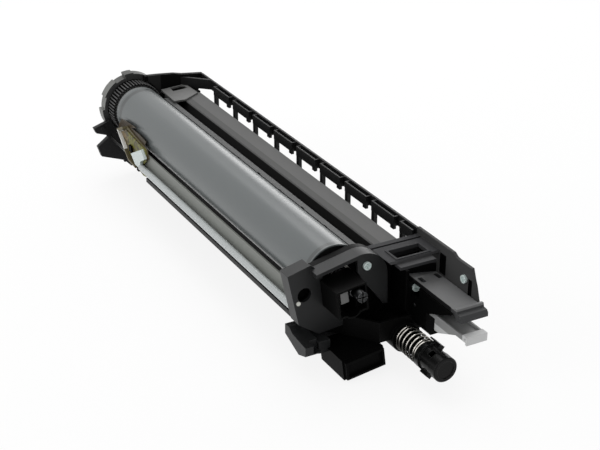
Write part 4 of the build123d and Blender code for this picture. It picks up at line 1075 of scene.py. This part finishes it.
@dataclass
class Studio:
    """Floor, world, lamps and camera."""

    floor_level: float
    floor_reach: float = 6.0
    floor_tone: Colour = (0.86, 0.86, 0.86)
    floor_glow: float = 0.86
    sky: float = 0.62
    camera_place: Place = (-0.2933745, -0.4811706, 0.3145204)
    azimuth: float = 28.518
    elevation: float = 26.276
    focal_length: float = 81.6825
    sensor: float = 36.0
    sight: Span = (0.01, 50.0)
    aim: Place = (0.0, 0.14, 0.0)
    panels: tuple[Panel, ...] = (
        Panel("top_panel", (0.25, 0.55, 1.0), 1.0, 7.0),
        Panel("left_panel", (-1.3, 0.2, 0.5), 0.9, 6.0),
        Panel("rear_panel", (1.0, 1.3, 0.3), 0.6, 2.5),
    )

    def build(self) -> None:
        """Makes the whole studio."""
        self.build_camera()
        self.build_world()
        self.build_floor()
        for panel in self.panels:
            self.hang(panel)
        bpy.context.scene.view_settings.view_transform = "Standard"

    def stand(self, name: str, data: bpy.types.ID, place: Place,
              forward: Vector) -> bpy.types.Object:
        """Stands a camera or a lamp in the scene.

        Args:
            name: The object's name.
            data: The camera or the lamp.
            place: Where it stands.
            forward: The way it looks.

        Returns:
            The object.
        """
        thing = bpy.data.objects.new(name, data)
        thing.location = place
        thing.rotation_mode = "QUATERNION"
        thing.rotation_quaternion = forward.to_track_quat("-Z", "Y")
        bpy.context.scene.collection.objects.link(thing)
        return thing

    def build_camera(self) -> None:
        """Stands the camera where the photograph was taken."""
        turn = math.radians(self.azimuth)
        rise = math.radians(self.elevation)
        level = math.cos(rise)
        forward = Vector((math.sin(turn) * level, math.cos(turn) * level, -math.sin(rise)))
        data = bpy.data.cameras.new("camera")
        data.sensor_width = self.sensor
        data.lens = self.focal_length
        data.clip_start, data.clip_end = self.sight
        bpy.context.scene.camera = self.stand("camera", data, self.camera_place, forward)

    def build_world(self) -> None:
        """Makes the world white to look at and plain grey as a light."""
        graph = Graph(bpy.data.worlds.new("studio"))
        shown = graph.node("ShaderNodeBackground", {}, {"Color": WHITE, "Strength": 1.0})
        light = graph.node("ShaderNodeBackground", {}, {"Color": WHITE, "Strength": self.sky})
        graph.finish(graph.node("ShaderNodeMixShader", {}, {0: graph.seen(), 1: light, 2: shown}))
        bpy.context.scene.world = graph.owner

    def build_floor(self) -> None:
        """Lays the pale floor, which keeps the unit's shadow."""
        form = bmesh.new()
        bmesh.ops.create_grid(form, x_segments=1, y_segments=1, size=self.floor_reach)
        mesh = bpy.data.meshes.new("floor")
        form.to_mesh(mesh)
        form.free()
        floor = bpy.data.objects.new("floor", mesh)
        floor.location.z = self.floor_level
        bpy.context.scene.collection.objects.link(floor)
        graph = Graph(bpy.data.materials.new("floor"))
        matt = graph.node("ShaderNodeBsdfDiffuse", {}, {"Color": self.floor_tone})
        glow = graph.node("ShaderNodeEmission", {}, {"Color": WHITE})
        share = graph.seen() * self.floor_glow
        graph.finish(graph.node("ShaderNodeMixShader", {}, {0: share, 1: matt, 2: glow}))
        mesh.materials.append(graph.owner)
        floor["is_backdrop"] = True

    def hang(self, panel: Panel) -> None:
        """Hangs a lamp that points at the unit.

        Args:
            panel: The lamp.
        """
        data = bpy.data.lights.new(panel.name, "AREA")
        data.size = panel.size
        data.energy = panel.power
        self.stand(panel.name, data, panel.place, Vector(self.aim) - Vector(panel.place))


def corners() -> list[list[float]]:
    """Gives the shown unit's lowest and highest corner as plain numbers."""
    return [[round(part, 6) for part in corner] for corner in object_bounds()]


def main() -> None:
    """Builds every sub-assembly in order."""
    logging.basicConfig(level=logging.INFO, format="%(name)s %(message)s")
    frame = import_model()
    cad_box = corners()
    nodes = frame["nodes"]
    finishes = Finishes()
    floor_level = cad_box[0][2]
    Studio(floor_level).build()
    for group in (DrumGroup, LongFrame, RearEnd, EraseLamp, FrontEnd, HandleGroup):
        group(nodes, finishes).dress_all()
    outlet = WasteOutlet(nodes, finishes)
    outlet.dress_all()
    outlet.build_spring()


if __name__ == "__main__":
    main()
